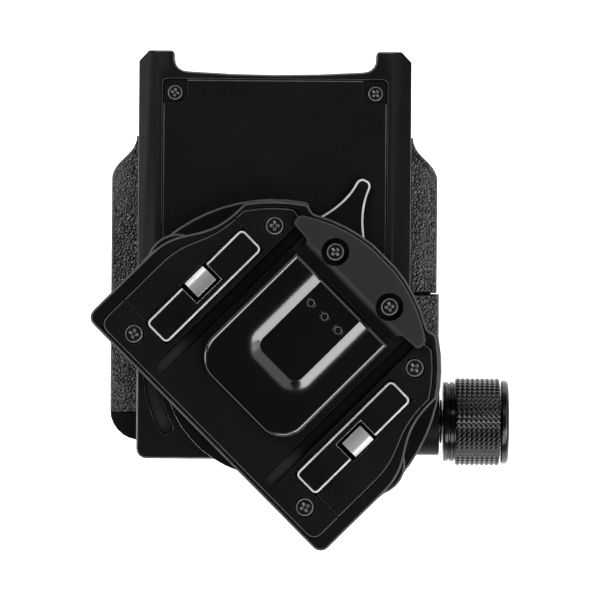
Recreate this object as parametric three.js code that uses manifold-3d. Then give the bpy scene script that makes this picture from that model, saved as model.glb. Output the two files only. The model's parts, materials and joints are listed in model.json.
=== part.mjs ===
// Alt azimuth mount: a rear yoke that fastens to a support, a tilting head that hinges in
// the yoke on a horizontal pin, and a turntable on the head that carries the device plate.
// Millimetres, +Z up. The mount lies on its back: X runs along the altitude pin, Y up the
// head, and Z out of the device plate. The origin is on the azimuth axis, in the back face.
import * as THREE from 'three';
import { mergeVertices } from 'three/addons/utils/BufferGeometryUtils.js';
import Module from 'manifold-3d';

const wasm = await Module();
wasm.setup();

// ---------------------------------------------------------------- driving dimensions
const GAP = 0.3; // clearance between neighbouring pieces
const SAGITTA = 0.06; // how far a facet may stand off a true arc
const CURVE_STEPS = 14; // straight pieces in each free curve
const WELD = 1e-4; // corners closer than this are one
const PAST = 1; // how far a cutter reaches past what it cuts
const REACH = 200; // farther than any piece
const DEG = Math.PI / 180;

// Rear yoke: back plate and two cheeks
const HEAD_HALF = 35; // half width of the head, which lies between the cheeks
const CHEEK_WIDTH = 6.7;
const WING_HALF = HEAD_HALF + GAP + CHEEK_WIDTH;
const WING_SHOULDER = 48; // where the cheeks begin to flare in
const WING_TOP = 59.3; // where the flare meets the head
const FLARE_HANDLE = 5; // how long the flare's curve follows each of its ends
const YOKE_DEPTH = 18; // height of the cheeks
const BACK_THICK = 4.7;
const BACK_TOP = 72; // upper end of the back plate
const BACK_BOTTOM = -17; // lower end, clear of the turning head
const BACK_CORNER = 3;
const LEFT_WING_BOTTOM = -19.2;
const LEFT_WING_CORNER = 7.8;
const PAD_THICK = 1.2; // grip pads on top of the cheeks
const LEFT_PAD_BOTTOM = -12.2;
const LEDGE_WIDTH = 9; // ledges under the head that carry the cheek screws
const LEDGE_HALF = HEAD_HALF - LEDGE_WIDTH;
const LEDGE_HEIGHT = 7;
const LEDGE_BOTTOM = 0;
const LEDGE_TOP = WING_TOP - 2;
const BLOCK_TOP = 19; // seam between right cheek and clamp block
const BLOCK_BOTTOM = -19;
const LIP_INSET = 1.4; // lip of the clamp block that closes the seam from behind
const LIP_LENGTH = 2;
const LIP_HEIGHT = 9;
const BLOCK_PROUD = 0.6; // how far the clamp block stands out past the cheeks
const BLOCK_HALF = WING_HALF + BLOCK_PROUD;
const SOCKET_R = 3.2; // support screw socket in the back plate
const SOCKET_WALL = 2;
const SOCKET_Y = 30;
const CHEEK_SCREW_INSET = 4; // from the ledge's edge
const CHEEK_SCREW_Y = [8, 50];
const CHEEK_SCREW_SINK = 2.2; // depth of the screw heads in the back plate
const CHEEK_SCREW_LENGTH = BACK_THICK + 2;
const CHEEK_SCREW_HOLE = BACK_THICK + 6; // depth of the screw holes in the cheeks

// Altitude pin and lock knob
const BARREL_R = 6.8; // hinge knuckles of the head
const KNUCKLE_CLEARANCE = 0.5; // between the knuckles and the back plate
const KNUCKLE_INNER = 12; // knuckles stop short of the spindle
const PIN_Y = -14;
const PIN_Z = BACK_THICK + KNUCKLE_CLEARANCE + BARREL_R;
const PIN_R = 3;
const PIN_HEAD_R = PIN_R + 0.8;
const PIN_HEAD_THICK = 1.4;
const PIN_HEAD_SINK = 5.1; // seat of the pin's head, inside the left cheek's round corner
const PIN_END_INSET = 2; // the pin ends inside the knob
const BOSS_R = 8.7; // round boss that carries the knob
const BOSS_SINK = 0.5; // clamp block left behind the boss
const BOSS_PROUD = 0.3;
const BOSS_FACE = BLOCK_HALF + BOSS_PROUD;
const THRUST_R = PIN_R + 2.6;
const THRUST_THICK = 0.4;
const KNOB_START = BOSS_FACE + THRUST_THICK + 2 * GAP;
const KNOB_R = 11.3;
const COLLAR_R = KNOB_R - 1;
const COLLAR_LENGTH = 3;
const COLLAR_RING = 1; // width of the collar's first ring
const COLLAR_GROOVE = 0.5; // depth and width of its ring grooves
const GRIP_LENGTH = 11.7;
const CAP_LENGTH = 1.9;
const CAP_R = KNOB_R - 0.4;
const CAP_EDGE = 0.9; // broken outer edge of the cap
const CAP_RIM = 1.5; // flat rim inside that edge
const CAP_DISH = 0.4; // depth of the dished face
const BUSH_WALL = 1;
const BUSH_LENGTH = 12;
const WASHER_THICK = 1.2;
const WASHER_R = BARREL_R - 0.8; // clears the underside of the head

// Tilting head
const HEAD_THICK = 8.7;
const HEAD_BACK = YOKE_DEPTH + GAP;
const HEAD_TOP = HEAD_BACK + HEAD_THICK; // level of the head's face
const HEAD_BOTTOM_Y = -23.7;
const HEAD_CORNER = 2.6;
const HORN_TOP = 81;
const HORN_WIDTH = 9.2;
const HORN_CHAMFER = 2.6;
const HORN_CORNER = 1;
const CROWN_Y = 75.7; // top edge beside the horns
const CROWN_FILLET = 3.2;
const CROWN_DIP = 0.8;
const RAIL_SLOPE = 4.3; // width of the sloped side rails in plan
const RAIL_DROP = 3.2; // and how far they fall
const RAIL_START = 8;
const PANEL_MARGIN = 6.4; // from the panel to the head's side
const PANEL_HALF = HEAD_HALF - PANEL_MARGIN;
const PANEL_TOP = 73.5;
const PANEL_CORNER = 1.3;
const PANEL_THICK = 1.6;
const PANEL_RELIEF_R = PANEL_HALF + 7.9; // the panel is cut round the hub
const TAB_WIDTH = 6.1;
const TAB_HEIGHT = 6;
const TAB_CORNER = 2.2;
const TAB_THICK = 0.7;
const PANEL_SCREW_X = PANEL_HALF - 2.9;
const PANEL_SCREW_Y = PANEL_TOP - 3.3;
const PANEL_SCREW_LENGTH = 5;

// Azimuth bearing
const SPINDLE_R = 5.5;
const SPINDLE_FLANGE_R = SPINDLE_R + 3.5;
const SPINDLE_TAIL = 0.4; // how far the spindle stands out of its nut
const HUB_LENGTH = 7.3; // of the head's hub below its back
const HUB_BOTTOM = HEAD_BACK - HUB_LENGTH;
const HUB_WALL = 2.7;
const HUB_R = SPINDLE_R + BUSH_WALL + 2 * GAP + HUB_WALL;
const NUT_R = SPINDLE_R + 3.5;
const NUT_THICK = 2.7;
const WAVE_THICK = 0.7;
const FLANGE_R = SPINDLE_R + 3.5;
const FLANGE_THICK = 1.2;
const SLOT_R = 31.6; // arc slots that limit the turntable
const SLOT_WIDTH = 3.6;
const SLOT_FROM = 60; // degrees from -Y round to the side
const SLOT_TO = 150;
const SLOT_DEPTH = 3;
const STRIP_THICK = 0.6;
const STUD_R = SLOT_WIDTH / 2 - GAP;
const AZIMUTH_SWING = SLOT_TO - SLOT_FROM;

// Turntable stack, from the head's face outward
const LEVER_THICK = 2;
const DISC_THICK = 2;
const CARRIER_THICK = 1.7;
const PLATE_THICK = 3.1;
const COVER_THICK = 1.6;
const COVER_PROUD = 0.2;
const LEVER_BACK = HEAD_TOP + GAP;
const DISC_BACK = LEVER_BACK + LEVER_THICK + GAP;
const CARRIER_BACK = DISC_BACK + DISC_THICK + GAP;
const PLATE_BACK = CARRIER_BACK + CARRIER_THICK + GAP;
const PLATE_TOP = PLATE_BACK + PLATE_THICK;
const COVER_TOP = PLATE_TOP + COVER_PROUD;
const COVER_BACK = COVER_TOP - COVER_THICK;
const PLATE_FLOOR = COVER_BACK - GAP;

// Device plate, drawn upright about the azimuth axis
const DISC_R = 43;
const PLATE_BOTTOM = -24.9;
const PLATE_HALF = 42.5;
const PLATE_NECK = PLATE_HALF - 7.7; // half width above the shoulders
const PLATE_CORNER = 2.6;
const SHOULDER_LOW = -2; // where the shoulder's curve starts
const SHOULDER_BEND = 9; // height of both of its handles
const SHOULDER_HIGH = 22;
const CROWN_R = 42.3;
const RIM_SIDE = 3.6; // width of the plate's rim outside the cover
const RIM_BOTTOM = 1.2;
const RIM_NECK = 1.1;
const RIM_CROWN = 1.7;
const CARRIER_GROW = 0.5; // the carrier reaches past the cover's line
const LUG_X = PLATE_HALF - 7;
const LUG_Y = 1;
const LUG_R = 8.1;
const LUG_BOTTOM = -3;
const EDGE = 0.5; // chamfer on visible edges
const COVER_EDGE = 0.3; // chamfer on the edges of the thin covers

// Release lever
const LEVER_R = 28;
const LEVER_ANGLE = 19; // rest place, anticlockwise of the plate's axis
const LEVER_ROOT_HALF = 9.5;
const LEVER_NECK_R = 36;
const LEVER_BEND = [2.2, 44]; // handle of the curve from the root to the tip
const LEVER_TIP_R = 53.6;
const LEVER_TIP_HALF = 1.95;
const LEVER_SPRING_R = 0.8;
const LEVER_SPRING_HALF = 5.5;
const LEVER_SPRING_Y = -20;
const LEVER_WINDOW_HALF = 1.5; // half height of the spring's window

// Guide rails, pawls and side covers
const SIDE_WIDTH = 8.2; // of the side covers
const RAIL_OUTER = PLATE_HALF - RIM_SIDE - SIDE_WIDTH;
const RAIL_WIDTH = 7.4;
const RAIL_INNER = RAIL_OUTER - RAIL_WIDTH;
const RAIL_LOW = -15.1;
const RAIL_HIGH = 19.2;
const RAIL_CORNER = 1.3;
const RAIL_PROUD = 1.4;
const SIDE_LOW = -14.8;
const SIDE_HIGH = 19.7;
const PAWL_INNER = RAIL_INNER + 2.8;
const PAWL_OUTER = RAIL_OUTER + 0.3;
const PAWL_LOW = -1;
const PAWL_HIGH = 5.4;
const PAWL_TRAVEL = 2.4;
const PAWL_BACK = CARRIER_BACK + GAP + PAWL_TRAVEL;
const PAWL_SHOULDER = 1.6; // width of the pawl's sloped shoulder
const PAWL_SHOULDER_DROP = 1.2;
const WINDOW_INNER = PAWL_INNER - 0.9;
const WINDOW_OUTER = PAWL_OUTER + 0.4;
const WINDOW_LOW = PAWL_LOW - 1.3;
const WINDOW_HIGH = PAWL_HIGH + 1;
const PAWL_SPRING_R = 1.9;
const PAWL_SPRING_WALL = 0.5;

// Tongue, channels and crescent stop
const CHANNEL_X = RAIL_INNER - 3.3;
const CHANNEL_WIDTH = 3.4;
const CHANNEL_LOW = -21.7;
const CHANNEL_HIGH = 30.1;
const TONGUE_HALF = CHANNEL_X - 3.4;
const TONGUE_LOW = -12.8;
const TONGUE_HIGH = 25;
const TONGUE_CORNER = 7.4;
const TONGUE_THICK = 3.8;
const TONGUE_EDGE = 1;
const TONGUE_RIM = 6; // from the tongue's side to its thumb recess
const RECESS_HALF = TONGUE_HALF - TONGUE_RIM;
const RECESS_LOW = -3.1;
const RECESS_CORNER = Math.min(6.4, RECESS_HALF * 0.9); // limited by the recess's own width
const RECESS_SLOPE = Math.min(3.6, RECESS_HALF * 0.5);
const RECESS_DEPTH = 1.2;
const DIMPLE_R = 1.1;
const DIMPLE_DEPTH = 0.5;
const DIMPLE_PITCH = 4.9;
const DIMPLE_Y = 18.4;
const CRESCENT_R = 39.4;
const NOTCH_R = CRESCENT_R + 1; // the crown is cut back to this radius along the crescent
const CRESCENT_TIP = [TONGUE_HALF + 6, 29.4];
const NOTCH_HALF = CRESCENT_TIP[0] - 1; // half width of that cut
const NOTCH_FLARE = 0.8; // and this much wider at its outer edge
const NOTCH_EASE = 1.6; // length that the step's curve takes up on each side
const CRESCENT_TIP_CORNER = 1;
const CRESCENT_OUTER_CORNER = 1.6;
const CRESCENT_END = [0.3, 2.8]; // run of the short straight end from the tip
const CRESCENT_LOW = TONGUE_HIGH + 1.3;
const CRESCENT_STEP = 29;
const CRESCENT_THICK = 3.3;
const CRESCENT_SLOPE_DROP = 2;
const CRESCENT_LAND = 0.4; // the slope runs this far past the step
const CRESCENT_SCREW = [9.8, 31.9];
const CRESCENT_SCREW_LENGTH = 5;
const CRESCENT_SINK = 2; // depth of its screw seats
const CRESCENT_BORE_R = 3.6;
const COVER_SCREWS = [
  [PLATE_NECK - 9.4, 25.6],
  [PLATE_HALF - 11.5, PLATE_BOTTOM + 5.7],
].flatMap(([x, y]) => [[-x, y], [x, y]]);
const COVER_SCREW_LENGTH = 4;
const COVER_SCREW_SINK = 0.1;
const COVER_BORE_R = 2.8;

// Screws: head radius, head height, shank radius
const COVER_SCREW = { head: 2.3, height: 0.7, shank: 1.2 };
const CRESCENT_SCREW_SIZE = { head: 2.2, height: 1.3, shank: 1.2 };
const PANEL_SCREW = { head: 1.9, height: 0.8, shank: 1 };
const PLATE_SCREW = { head: 3, height: 1.6, shank: 1.5 };
// Cross recess: arm and blade as shares of the head's radius, depth as a share of its height
const CROSS_ARM = 0.55;
const CROSS_BLADE = 0.11;
const CROSS_DEPTH = 0.6;
const CROWN_BREAK = 0.35; // chamfer of the head as a share of its height

// ---------------------------------------------------------------- outlines
/** Points on an arc about (cx, cy), in degrees, with facets within SAGITTA of it. */
function arc(cx, cy, r, from, to) {
  const step = 2 * Math.acos(1 - SAGITTA / r);
  const count = Math.max(2, Math.ceil((Math.abs(to - from) * DEG) / step));
  return Array.from({ length: count + 1 }, (_, i) => {
    const a = (from + ((to - from) * i) / count) * DEG;
    return new THREE.Vector2(cx + r * Math.cos(a), cy + r * Math.sin(a));
  });
}

/** A full circle as a closed outline. */
const circle = (cx, cy, r) => arc(cx, cy, r, 0, 360).slice(0, -1);

/** A closed outline from corners [x, y, radius]; each radius becomes a true fillet. */
function rounded(corners) {
  const points = [];
  corners.forEach(([x, y, r = 0], i) => {
    const corner = new THREE.Vector2(x, y);
    if (r === 0) {
      points.push(corner);
      return;
    }
    const before = corners[(i + corners.length - 1) % corners.length];
    const after = corners[(i + 1) % corners.length];
    const u = new THREE.Vector2(before[0] - x, before[1] - y).normalize();
    const v = new THREE.Vector2(after[0] - x, after[1] - y).normalize();
    const half = Math.acos(u.dot(v)) / 2;
    const centre = u.clone().add(v).normalize().multiplyScalar(r / Math.sin(half)).add(corner);
    const start = corner.clone().addScaledVector(u, r / Math.tan(half)).sub(centre);
    const end = corner.clone().addScaledVector(v, r / Math.tan(half)).sub(centre);
    const from = start.angle() / DEG;
    let sweep = end.angle() / DEG - from;
    if (sweep > 180) sweep -= 360;
    if (sweep < -180) sweep += 360;
    points.push(...arc(centre.x, centre.y, r, from, from + sweep));
  });
  return points;
}

/** A rectangle with equal corner radii. */
const rectangle = (x0, y0, x1, y1, r = 0) => rounded(
  [[x0, y0, r], [x1, y0, r], [x1, y1, r], [x0, y1, r]],
);

/** The same outline mirrored in the Y axis, still anticlockwise. */
const mirrored = (points) => points.map((p) => new THREE.Vector2(-p.x, p.y)).reverse();

/** A symmetric outline from its right half, listed anticlockwise from the bottom up. */
const bothHalves = (right) => [...right, ...mirrored(right)];

/** A curved band about the azimuth axis between two angles, with round ends. */
function arcBand(r, width, from, to) {
  const half = width / 2;
  const end = (angle, turn) => {
    const a = angle * DEG;
    return arc(r * Math.cos(a), r * Math.sin(a), half, angle + turn, angle + turn + 180);
  };
  const outside = arc(0, 0, r + half, from, to);
  const inside = arc(0, 0, r - half, to, from);
  return [...outside, ...end(to, 0), ...inside, ...end(from, 180)]
    .filter((p, i, all) => i === 0 || p.distanceTo(all[i - 1]) > SAGITTA);
}

// ---------------------------------------------------------------- solids
/** Makes a manifold solid from a closed three.js geometry. */
function solid(geometry) {
  const bare = geometry.index ? geometry.toNonIndexed() : geometry.clone();
  bare.deleteAttribute('normal');
  bare.deleteAttribute('uv');
  const merged = mergeVertices(bare, WELD);
  const mesh = new wasm.Mesh({
    numProp: 3,
    vertProperties: new Float32Array(merged.attributes.position.array),
    triVerts: new Uint32Array(merged.index.array),
  });
  mesh.merge();
  return new wasm.Manifold(mesh);
}

const join = (first, ...rest) => rest.reduce((sum, piece) => sum.add(piece), first);
const cut = (first, ...rest) => rest.reduce((left, piece) => left.subtract(piece), first);

/** A flat piece between two levels; chamfer breaks the edges of its upper face. */
function plate(outline, z0, z1, chamfer = 0) {
  const shape = new THREE.Shape(outline);
  if (chamfer === 0) {
    const plain = new THREE.ExtrudeGeometry(shape, { depth: z1 - z0, bevelEnabled: false });
    return solid(plain.translate(0, 0, z0));
  }
  const bevelled = new THREE.ExtrudeGeometry(shape, {
    depth: z1 - z0,
    bevelSize: chamfer,
    bevelOffset: -chamfer,
    bevelThickness: chamfer,
    bevelSegments: 1,
  }).translate(0, 0, z0 - chamfer);
  return solid(bevelled).intersect(block(-REACH, -REACH, z0, REACH, REACH, z1 + PAST));
}

/** A box from its lowest to its highest corner. */
function block(x0, y0, z0, x1, y1, z1) {
  const box = new THREE.BoxGeometry(x1 - x0, y1 - y0, z1 - z0);
  return solid(box.translate((x0 + x1) / 2, (y0 + y1) / 2, (z0 + z1) / 2));
}

/** An upright round bar. */
const post = (x, y, r, z0, z1) => plate(circle(x, y, r), z0, z1);

/** A bar along X whose section is drawn in Y and Z. */
function barAlongX(section, x0, x1) {
  const shape = new THREE.Shape(section);
  const geometry = new THREE.ExtrudeGeometry(shape, { depth: x1 - x0, bevelEnabled: false });
  const axes = new THREE.Matrix4().makeBasis(
    new THREE.Vector3(0, 1, 0),
    new THREE.Vector3(0, 0, 1),
    new THREE.Vector3(1, 0, 0),
  );
  return solid(geometry.applyMatrix4(axes).translate(x0, 0, 0));
}

/** A round bar along X on the altitude pin's axis. */
const pinBar = (r, x0, x1) => barAlongX(circle(PIN_Y, PIN_Z, r), x0, x1);

/** A bar along Y whose section is drawn in X and Z. */
function barAlongY(section, y0, y1) {
  const shape = new THREE.Shape(section);
  const geometry = new THREE.ExtrudeGeometry(shape, { depth: y1 - y0, bevelEnabled: false });
  return solid(geometry.rotateX(Math.PI / 2).translate(0, y1, 0));
}

/** A piece turned on the altitude pin's axis; the profile lists [distance along X, radius]. */
function turnedOnPin(profile) {
  const points = profile.map(([x, r]) => new THREE.Vector2(r, x));
  const segments = Math.ceil(Math.PI / Math.acos(1 - SAGITTA / KNOB_R));
  const geometry = new THREE.LatheGeometry(points, segments).rotateZ(-Math.PI / 2);
  return solid(geometry.translate(0, PIN_Y, PIN_Z));
}

/** A cross-head screw; z is the seat of its head, length what is below the seat. */
function screw(x, y, z, size, length) {
  const { head, height, shank } = size;
  const arm = head * CROSS_ARM;
  const blade = head * CROSS_BLADE;
  const floor = z + height * (1 - CROSS_DEPTH);
  const crown = plate(circle(x, y, head), z, z + height, height * CROWN_BREAK);
  const across = block(x - arm, y - blade, floor, x + arm, y + blade, z + height + PAST);
  const along = block(x - blade, y - arm, floor, x + blade, y + arm, z + height + PAST);
  return cut(join(crown, post(x, y, shank, z - length, z + height * CROWN_BREAK)), across, along);
}

// ---------------------------------------------------------------- the assembly
const materials = {
  frame: { color: 0x131313, roughness: 0.55, metalness: 0.3 },
  panel: { color: 0x101010, roughness: 0.7, metalness: 0.1 },
  pad: { color: 0x1a1a1a, roughness: 0.65, metalness: 0 },
  plate: { color: 0x0e0e0e, roughness: 0.45, metalness: 0.3 },
  gloss: { color: 0x0a0a0a, roughness: 0.25, metalness: 0.1 },
  stop: { color: 0x222222, roughness: 0.7, metalness: 0 },
  strip: { color: 0x303030, roughness: 0.6, metalness: 0 },
  knob: { color: 0x111111, roughness: 0.35, metalness: 0.6 },
  screw: { color: 0x111111, roughness: 0.3, metalness: 0.8 },
  steel: { color: 0x8a8a8a, roughness: 0.35, metalness: 0.9 },
  brass: { color: 0xb08d45, roughness: 0.35, metalness: 0.9 },
};

/** Adds one named piece to a group. */
function addPiece(group, name, body, finish) {
  const { vertProperties, triVerts } = body.getMesh();
  const geometry = new THREE.BufferGeometry();
  geometry.setAttribute('position', new THREE.BufferAttribute(vertProperties, 3));
  geometry.setIndex(new THREE.BufferAttribute(triVerts, 1));
  geometry.computeVertexNormals();
  const mesh = new THREE.Mesh(geometry, new THREE.MeshStandardMaterial(materials[finish]));
  mesh.name = name;
  group.add(mesh);
}

const mount = new THREE.Group();
const yoke = new THREE.Group();
const head = new THREE.Group();
const turntable = new THREE.Group();
turntable.rotation.z = (-AZIMUTH_SWING / 2) * DEG;
mount.add(yoke, head, turntable);

/** Names a left and a right copy and gives each its side, -1 or 1. */
function eachSide(make) {
  make('left', -1);
  make('right', 1);
}

/** What a maker gives for the left side, then for the right. */
const bothSides = (make) => [make(-1), make(1)];

/** A box given by its distances from the middle plane, on the chosen side. */
function sideBlock(side, inner, y0, z0, outer, y1, z1) {
  return block(Math.min(side * inner, side * outer), y0, z0, Math.max(side * inner, side * outer), y1, z1);
}

// ---------------------------------------------------------------- rear yoke
const CHEEK_INNER = HEAD_HALF + GAP;
const CHEEK_SCREWS = CHEEK_SCREW_Y.map((y) => [LEDGE_HALF + CHEEK_SCREW_INSET, y]);

/** Foot of the right-hand wing; a corner wider than the cheek is cut off by its inner side. */
function wingFoot(y0, corner) {
  if (corner <= CHEEK_WIDTH) {
    return rounded([[CHEEK_INNER, y0], [WING_HALF, y0, corner], [WING_HALF, WING_SHOULDER]]).slice(0, -1);
  }
  const centreX = WING_HALF - corner;
  const start = Math.acos((CHEEK_INNER - centreX) / corner) / DEG;
  return arc(centreX, y0 + corner, corner, -start, 0);
}

/** Outline of the right-hand wing from y0 up to its flare; mirrored for the left. */
function wing(y0, corner) {
  const flareEnd = CHEEK_INNER + GAP;
  const flare = new THREE.CubicBezierCurve(
    new THREE.Vector2(WING_HALF, WING_SHOULDER),
    new THREE.Vector2(WING_HALF, WING_SHOULDER + FLARE_HANDLE),
    new THREE.Vector2(flareEnd, WING_TOP - FLARE_HANDLE),
    new THREE.Vector2(flareEnd, WING_TOP),
  ).getPoints(CURVE_STEPS);
  return [...wingFoot(y0, corner), ...flare, new THREE.Vector2(CHEEK_INNER, WING_TOP)];
}

/** Back plate with its screw holes, and the support's socket in it. */
function buildBackPlate() {
  const outline = rectangle(-HEAD_HALF, BACK_BOTTOM, HEAD_HALF, BACK_TOP, BACK_CORNER);
  const socketOuter = SOCKET_R + SOCKET_WALL;
  const through = BACK_THICK + PAST;
  const holes = [post(0, SOCKET_Y, socketOuter + GAP, -PAST, through)];
  for (const [x, y] of CHEEK_SCREWS) {
    for (const side of [-1, 1]) {
      holes.push(post(side * x, y, PLATE_SCREW.head + GAP, -PAST, CHEEK_SCREW_SINK));
      holes.push(post(side * x, y, PLATE_SCREW.shank + GAP, -PAST, through));
    }
  }
  addPiece(yoke, 'back_plate', cut(plate(outline, 0, BACK_THICK), ...holes), 'frame');
  const sleeve = post(0, SOCKET_Y, socketOuter, 0, BACK_THICK);
  addPiece(yoke, 'support_socket', cut(sleeve, post(0, SOCKET_Y, SOCKET_R, -PAST, through)), 'brass');
}

/** A ledge under the head, from y0 to y1. */
const ledge = (side, y0, y1) => sideBlock(
  side, LEDGE_HALF, y0, BACK_THICK + GAP, CHEEK_INNER + PAST, y1, BACK_THICK + GAP + LEDGE_HEIGHT,
);

/** The clamp block's lip under the right cheek; grow leaves room for it. */
const seamLip = (grow) => sideBlock(
  1, CHEEK_INNER, BLOCK_TOP - PAST, 0, WING_HALF - LIP_INSET + grow, BLOCK_TOP + GAP + LIP_LENGTH + grow,
  LIP_HEIGHT + grow,
);

/** Screw holes in the cheek or block on one side. */
const cheekScrewHoles = (side) => CHEEK_SCREWS.map(([x, y]) => (
  post(side * x, y, PLATE_SCREW.shank + GAP, 0, CHEEK_SCREW_HOLE)));

/** Both cheeks with their grip pads and screws. */
function buildCheeks() {
  const padBack = YOKE_DEPTH - PAD_THICK;
  eachSide((name, side) => {
    const left = side < 0;
    const bottom = left ? LEFT_WING_BOTTOM : BLOCK_TOP + GAP;
    const right = wing(bottom, left ? LEFT_WING_CORNER : 0);
    const outline = left ? mirrored(right) : right;
    const padBottom = left ? LEFT_PAD_BOTTOM : bottom;
    const above = (y, z) => sideBlock(
      side, CHEEK_INNER - PAST, y, z, WING_HALF + PAST, WING_TOP + PAST, YOKE_DEPTH + PAST);
    const cheek = cut(
      join(plate(outline, 0, YOKE_DEPTH), ledge(side, left ? LEDGE_BOTTOM : bottom, LEDGE_TOP)),
      above(padBottom, padBack - GAP),
      pinBar(PIN_R + GAP, -WING_HALF - PAST, 0),
      pinBar(PIN_HEAD_R + GAP, -WING_HALF - PAST, -WING_HALF + PIN_HEAD_SINK),
      ...cheekScrewHoles(side),
      ...(left ? [] : [seamLip(GAP)]),
    );
    addPiece(yoke, `${name}_cheek`, cheek, 'frame');
    const pad = plate(outline, padBack, YOKE_DEPTH).intersect(above(padBottom + GAP, padBack - PAST));
    addPiece(yoke, `${name}_grip_pad`, pad, 'pad');
    CHEEK_SCREWS.forEach(([x, y], i) => {
      const upturned = screw(0, 0, 0, PLATE_SCREW, CHEEK_SCREW_LENGTH).rotate([180, 0, 0]);
      const placed = upturned.translate([side * x, y, CHEEK_SCREW_SINK - GAP]);
      addPiece(yoke, `${name}_cheek_screw_${i + 1}`, placed, 'screw');
    });
  });
}

/** Clamp block below the seam on the right, and the round boss in it. */
function buildClampBlock() {
  const outline = rectangle(CHEEK_INNER, BLOCK_BOTTOM, BLOCK_HALF, BLOCK_TOP);
  const seat = CHEEK_INNER + BOSS_SINK;
  const clampBlock = cut(
    join(plate(outline, 0, YOKE_DEPTH, EDGE), ledge(1, LEDGE_BOTTOM, BLOCK_TOP), seamLip(0)),
    pinBar(BOSS_R + GAP, seat, BLOCK_HALF + PAST),
    pinBar(PIN_R + GAP, CHEEK_INNER - PAST, BLOCK_HALF),
    ...cheekScrewHoles(1),
  );
  addPiece(yoke, 'clamp_block', clampBlock, 'pad');
  const boss = pinBar(BOSS_R, seat + GAP, BOSS_FACE);
  addPiece(yoke, 'clamp_boss', cut(boss, pinBar(PIN_R + GAP, seat, BOSS_FACE + PAST)), 'frame');
}

/** Altitude pin with its friction washers and thrust washer. */
function buildPin() {
  const headFace = -WING_HALF + PIN_HEAD_SINK - GAP - PIN_HEAD_THICK;
  const end = KNOB_START + COLLAR_LENGTH + GRIP_LENGTH - PIN_END_INSET;
  const pinHead = pinBar(PIN_HEAD_R, headFace, headFace + PIN_HEAD_THICK);
  addPiece(yoke, 'altitude_pin', join(pinHead, pinBar(PIN_R, headFace + PAST, end)), 'steel');
  const ring = (r, x0, x1) => cut(pinBar(r, x0, x1), pinBar(PIN_R + GAP, x0 - PAST, x1 + PAST));
  eachSide((name, side) => {
    const inner = HEAD_HALF - WASHER_THICK;
    const [x0, x1] = side < 0 ? [-HEAD_HALF, -inner] : [inner, HEAD_HALF];
    addPiece(yoke, `${name}_friction_washer`, ring(WASHER_R, x0, x1), 'brass');
  });
  addPiece(yoke, 'thrust_washer', ring(THRUST_R, BOSS_FACE + GAP, KNOB_START - GAP), 'frame');
}

/** Lock knob: a grooved collar and the grip, then the end cap. */
function buildKnob() {
  const gripStart = KNOB_START + COLLAR_LENGTH;
  const end = gripStart + GRIP_LENGTH;
  const bore = PIN_R + GAP;
  const ringEnd = KNOB_START + COLLAR_RING;
  const low = COLLAR_R - COLLAR_GROOVE;
  const knob = turnedOnPin([
    [KNOB_START, bore], [KNOB_START, low], [KNOB_START + COLLAR_GROOVE, COLLAR_R],
    [ringEnd, COLLAR_R], [ringEnd, low], [ringEnd + COLLAR_GROOVE, low],
    [ringEnd + COLLAR_GROOVE, COLLAR_R], [gripStart - COLLAR_GROOVE, COLLAR_R],
    [gripStart - COLLAR_GROOVE, low], [gripStart, low], [gripStart + COLLAR_GROOVE, KNOB_R],
    [end - COLLAR_GROOVE, KNOB_R], [end, KNOB_R - COLLAR_GROOVE], [end, bore], [KNOB_START, bore],
  ]);
  addPiece(yoke, 'lock_knob', knob, 'knob');
  const capStart = end + GAP;
  const capEnd = capStart + CAP_LENGTH;
  const dish = CAP_R - CAP_EDGE - CAP_RIM;
  const cap = turnedOnPin([
    [capStart, 0], [capStart, CAP_R], [capEnd - CAP_EDGE, CAP_R], [capEnd, CAP_R - CAP_EDGE],
    [capEnd, dish], [capEnd - CAP_DISH, dish - CAP_DISH], [capEnd - CAP_DISH, 0],
  ]);
  addPiece(yoke, 'knob_cap', cap, 'knob');
}

// ---------------------------------------------------------------- tilting head
/** Level of the pocket floor that the panel lies on. */
const PANEL_SEAT = HEAD_TOP - GAP - PANEL_THICK;

/** Outline of the panel, grown by a clearance for its pocket. */
function panelOutline(grow) {
  const half = PANEL_HALF + grow;
  const relief = PANEL_RELIEF_R - grow;
  const side = Math.acos(half / relief) / DEG;
  return [
    ...rounded([
      [half, 0], [half, PANEL_TOP + grow, PANEL_CORNER], [-half, PANEL_TOP + grow, PANEL_CORNER], [-half, 0],
    ]).slice(1, -1),
    ...arc(0, 0, relief, 180 - side, side),
  ];
}

/** The frame's outline: horns at the top corners, and a shallow dip between them. */
function headOutline() {
  const hornInner = HEAD_HALF - HORN_WIDTH;
  const chord = hornInner - CROWN_FILLET - SAGITTA;
  const dipR = (chord ** 2 + CROWN_DIP ** 2) / (2 * CROWN_DIP);
  const tilt = Math.asin(chord / dipR) / DEG;
  const dip = arc(0, CROWN_Y - CROWN_DIP + dipR, dipR, -90 + tilt, -90 - tilt);
  const rightEdge = rounded([
    [0, HEAD_BOTTOM_Y], [HEAD_HALF, HEAD_BOTTOM_Y, HEAD_CORNER], [HEAD_HALF, HORN_TOP - HORN_CHAMFER],
    [HEAD_HALF - HORN_CHAMFER, HORN_TOP], [hornInner, HORN_TOP, HORN_CORNER],
    [hornInner, CROWN_Y, CROWN_FILLET], [0, CROWN_Y],
  ]).slice(1, -1);
  return [...rightEdge, ...dip.slice(1, -1), ...mirrored(rightEdge)];
}

/** Cutter that slopes one side of the head. */
function railCutter(side) {
  const outer = HEAD_HALF + PAST;
  const low = HEAD_TOP - (RAIL_DROP * (RAIL_SLOPE + PAST)) / RAIL_SLOPE;
  const section = [
    [outer, low], [outer, HEAD_TOP + PAST], [HEAD_HALF - RAIL_SLOPE, HEAD_TOP + PAST],
    [HEAD_HALF - RAIL_SLOPE, HEAD_TOP],
  ];
  return barAlongY(section.map(([x, z]) => new THREE.Vector2(side * x, z)), RAIL_START, HORN_TOP + PAST);
}

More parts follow.
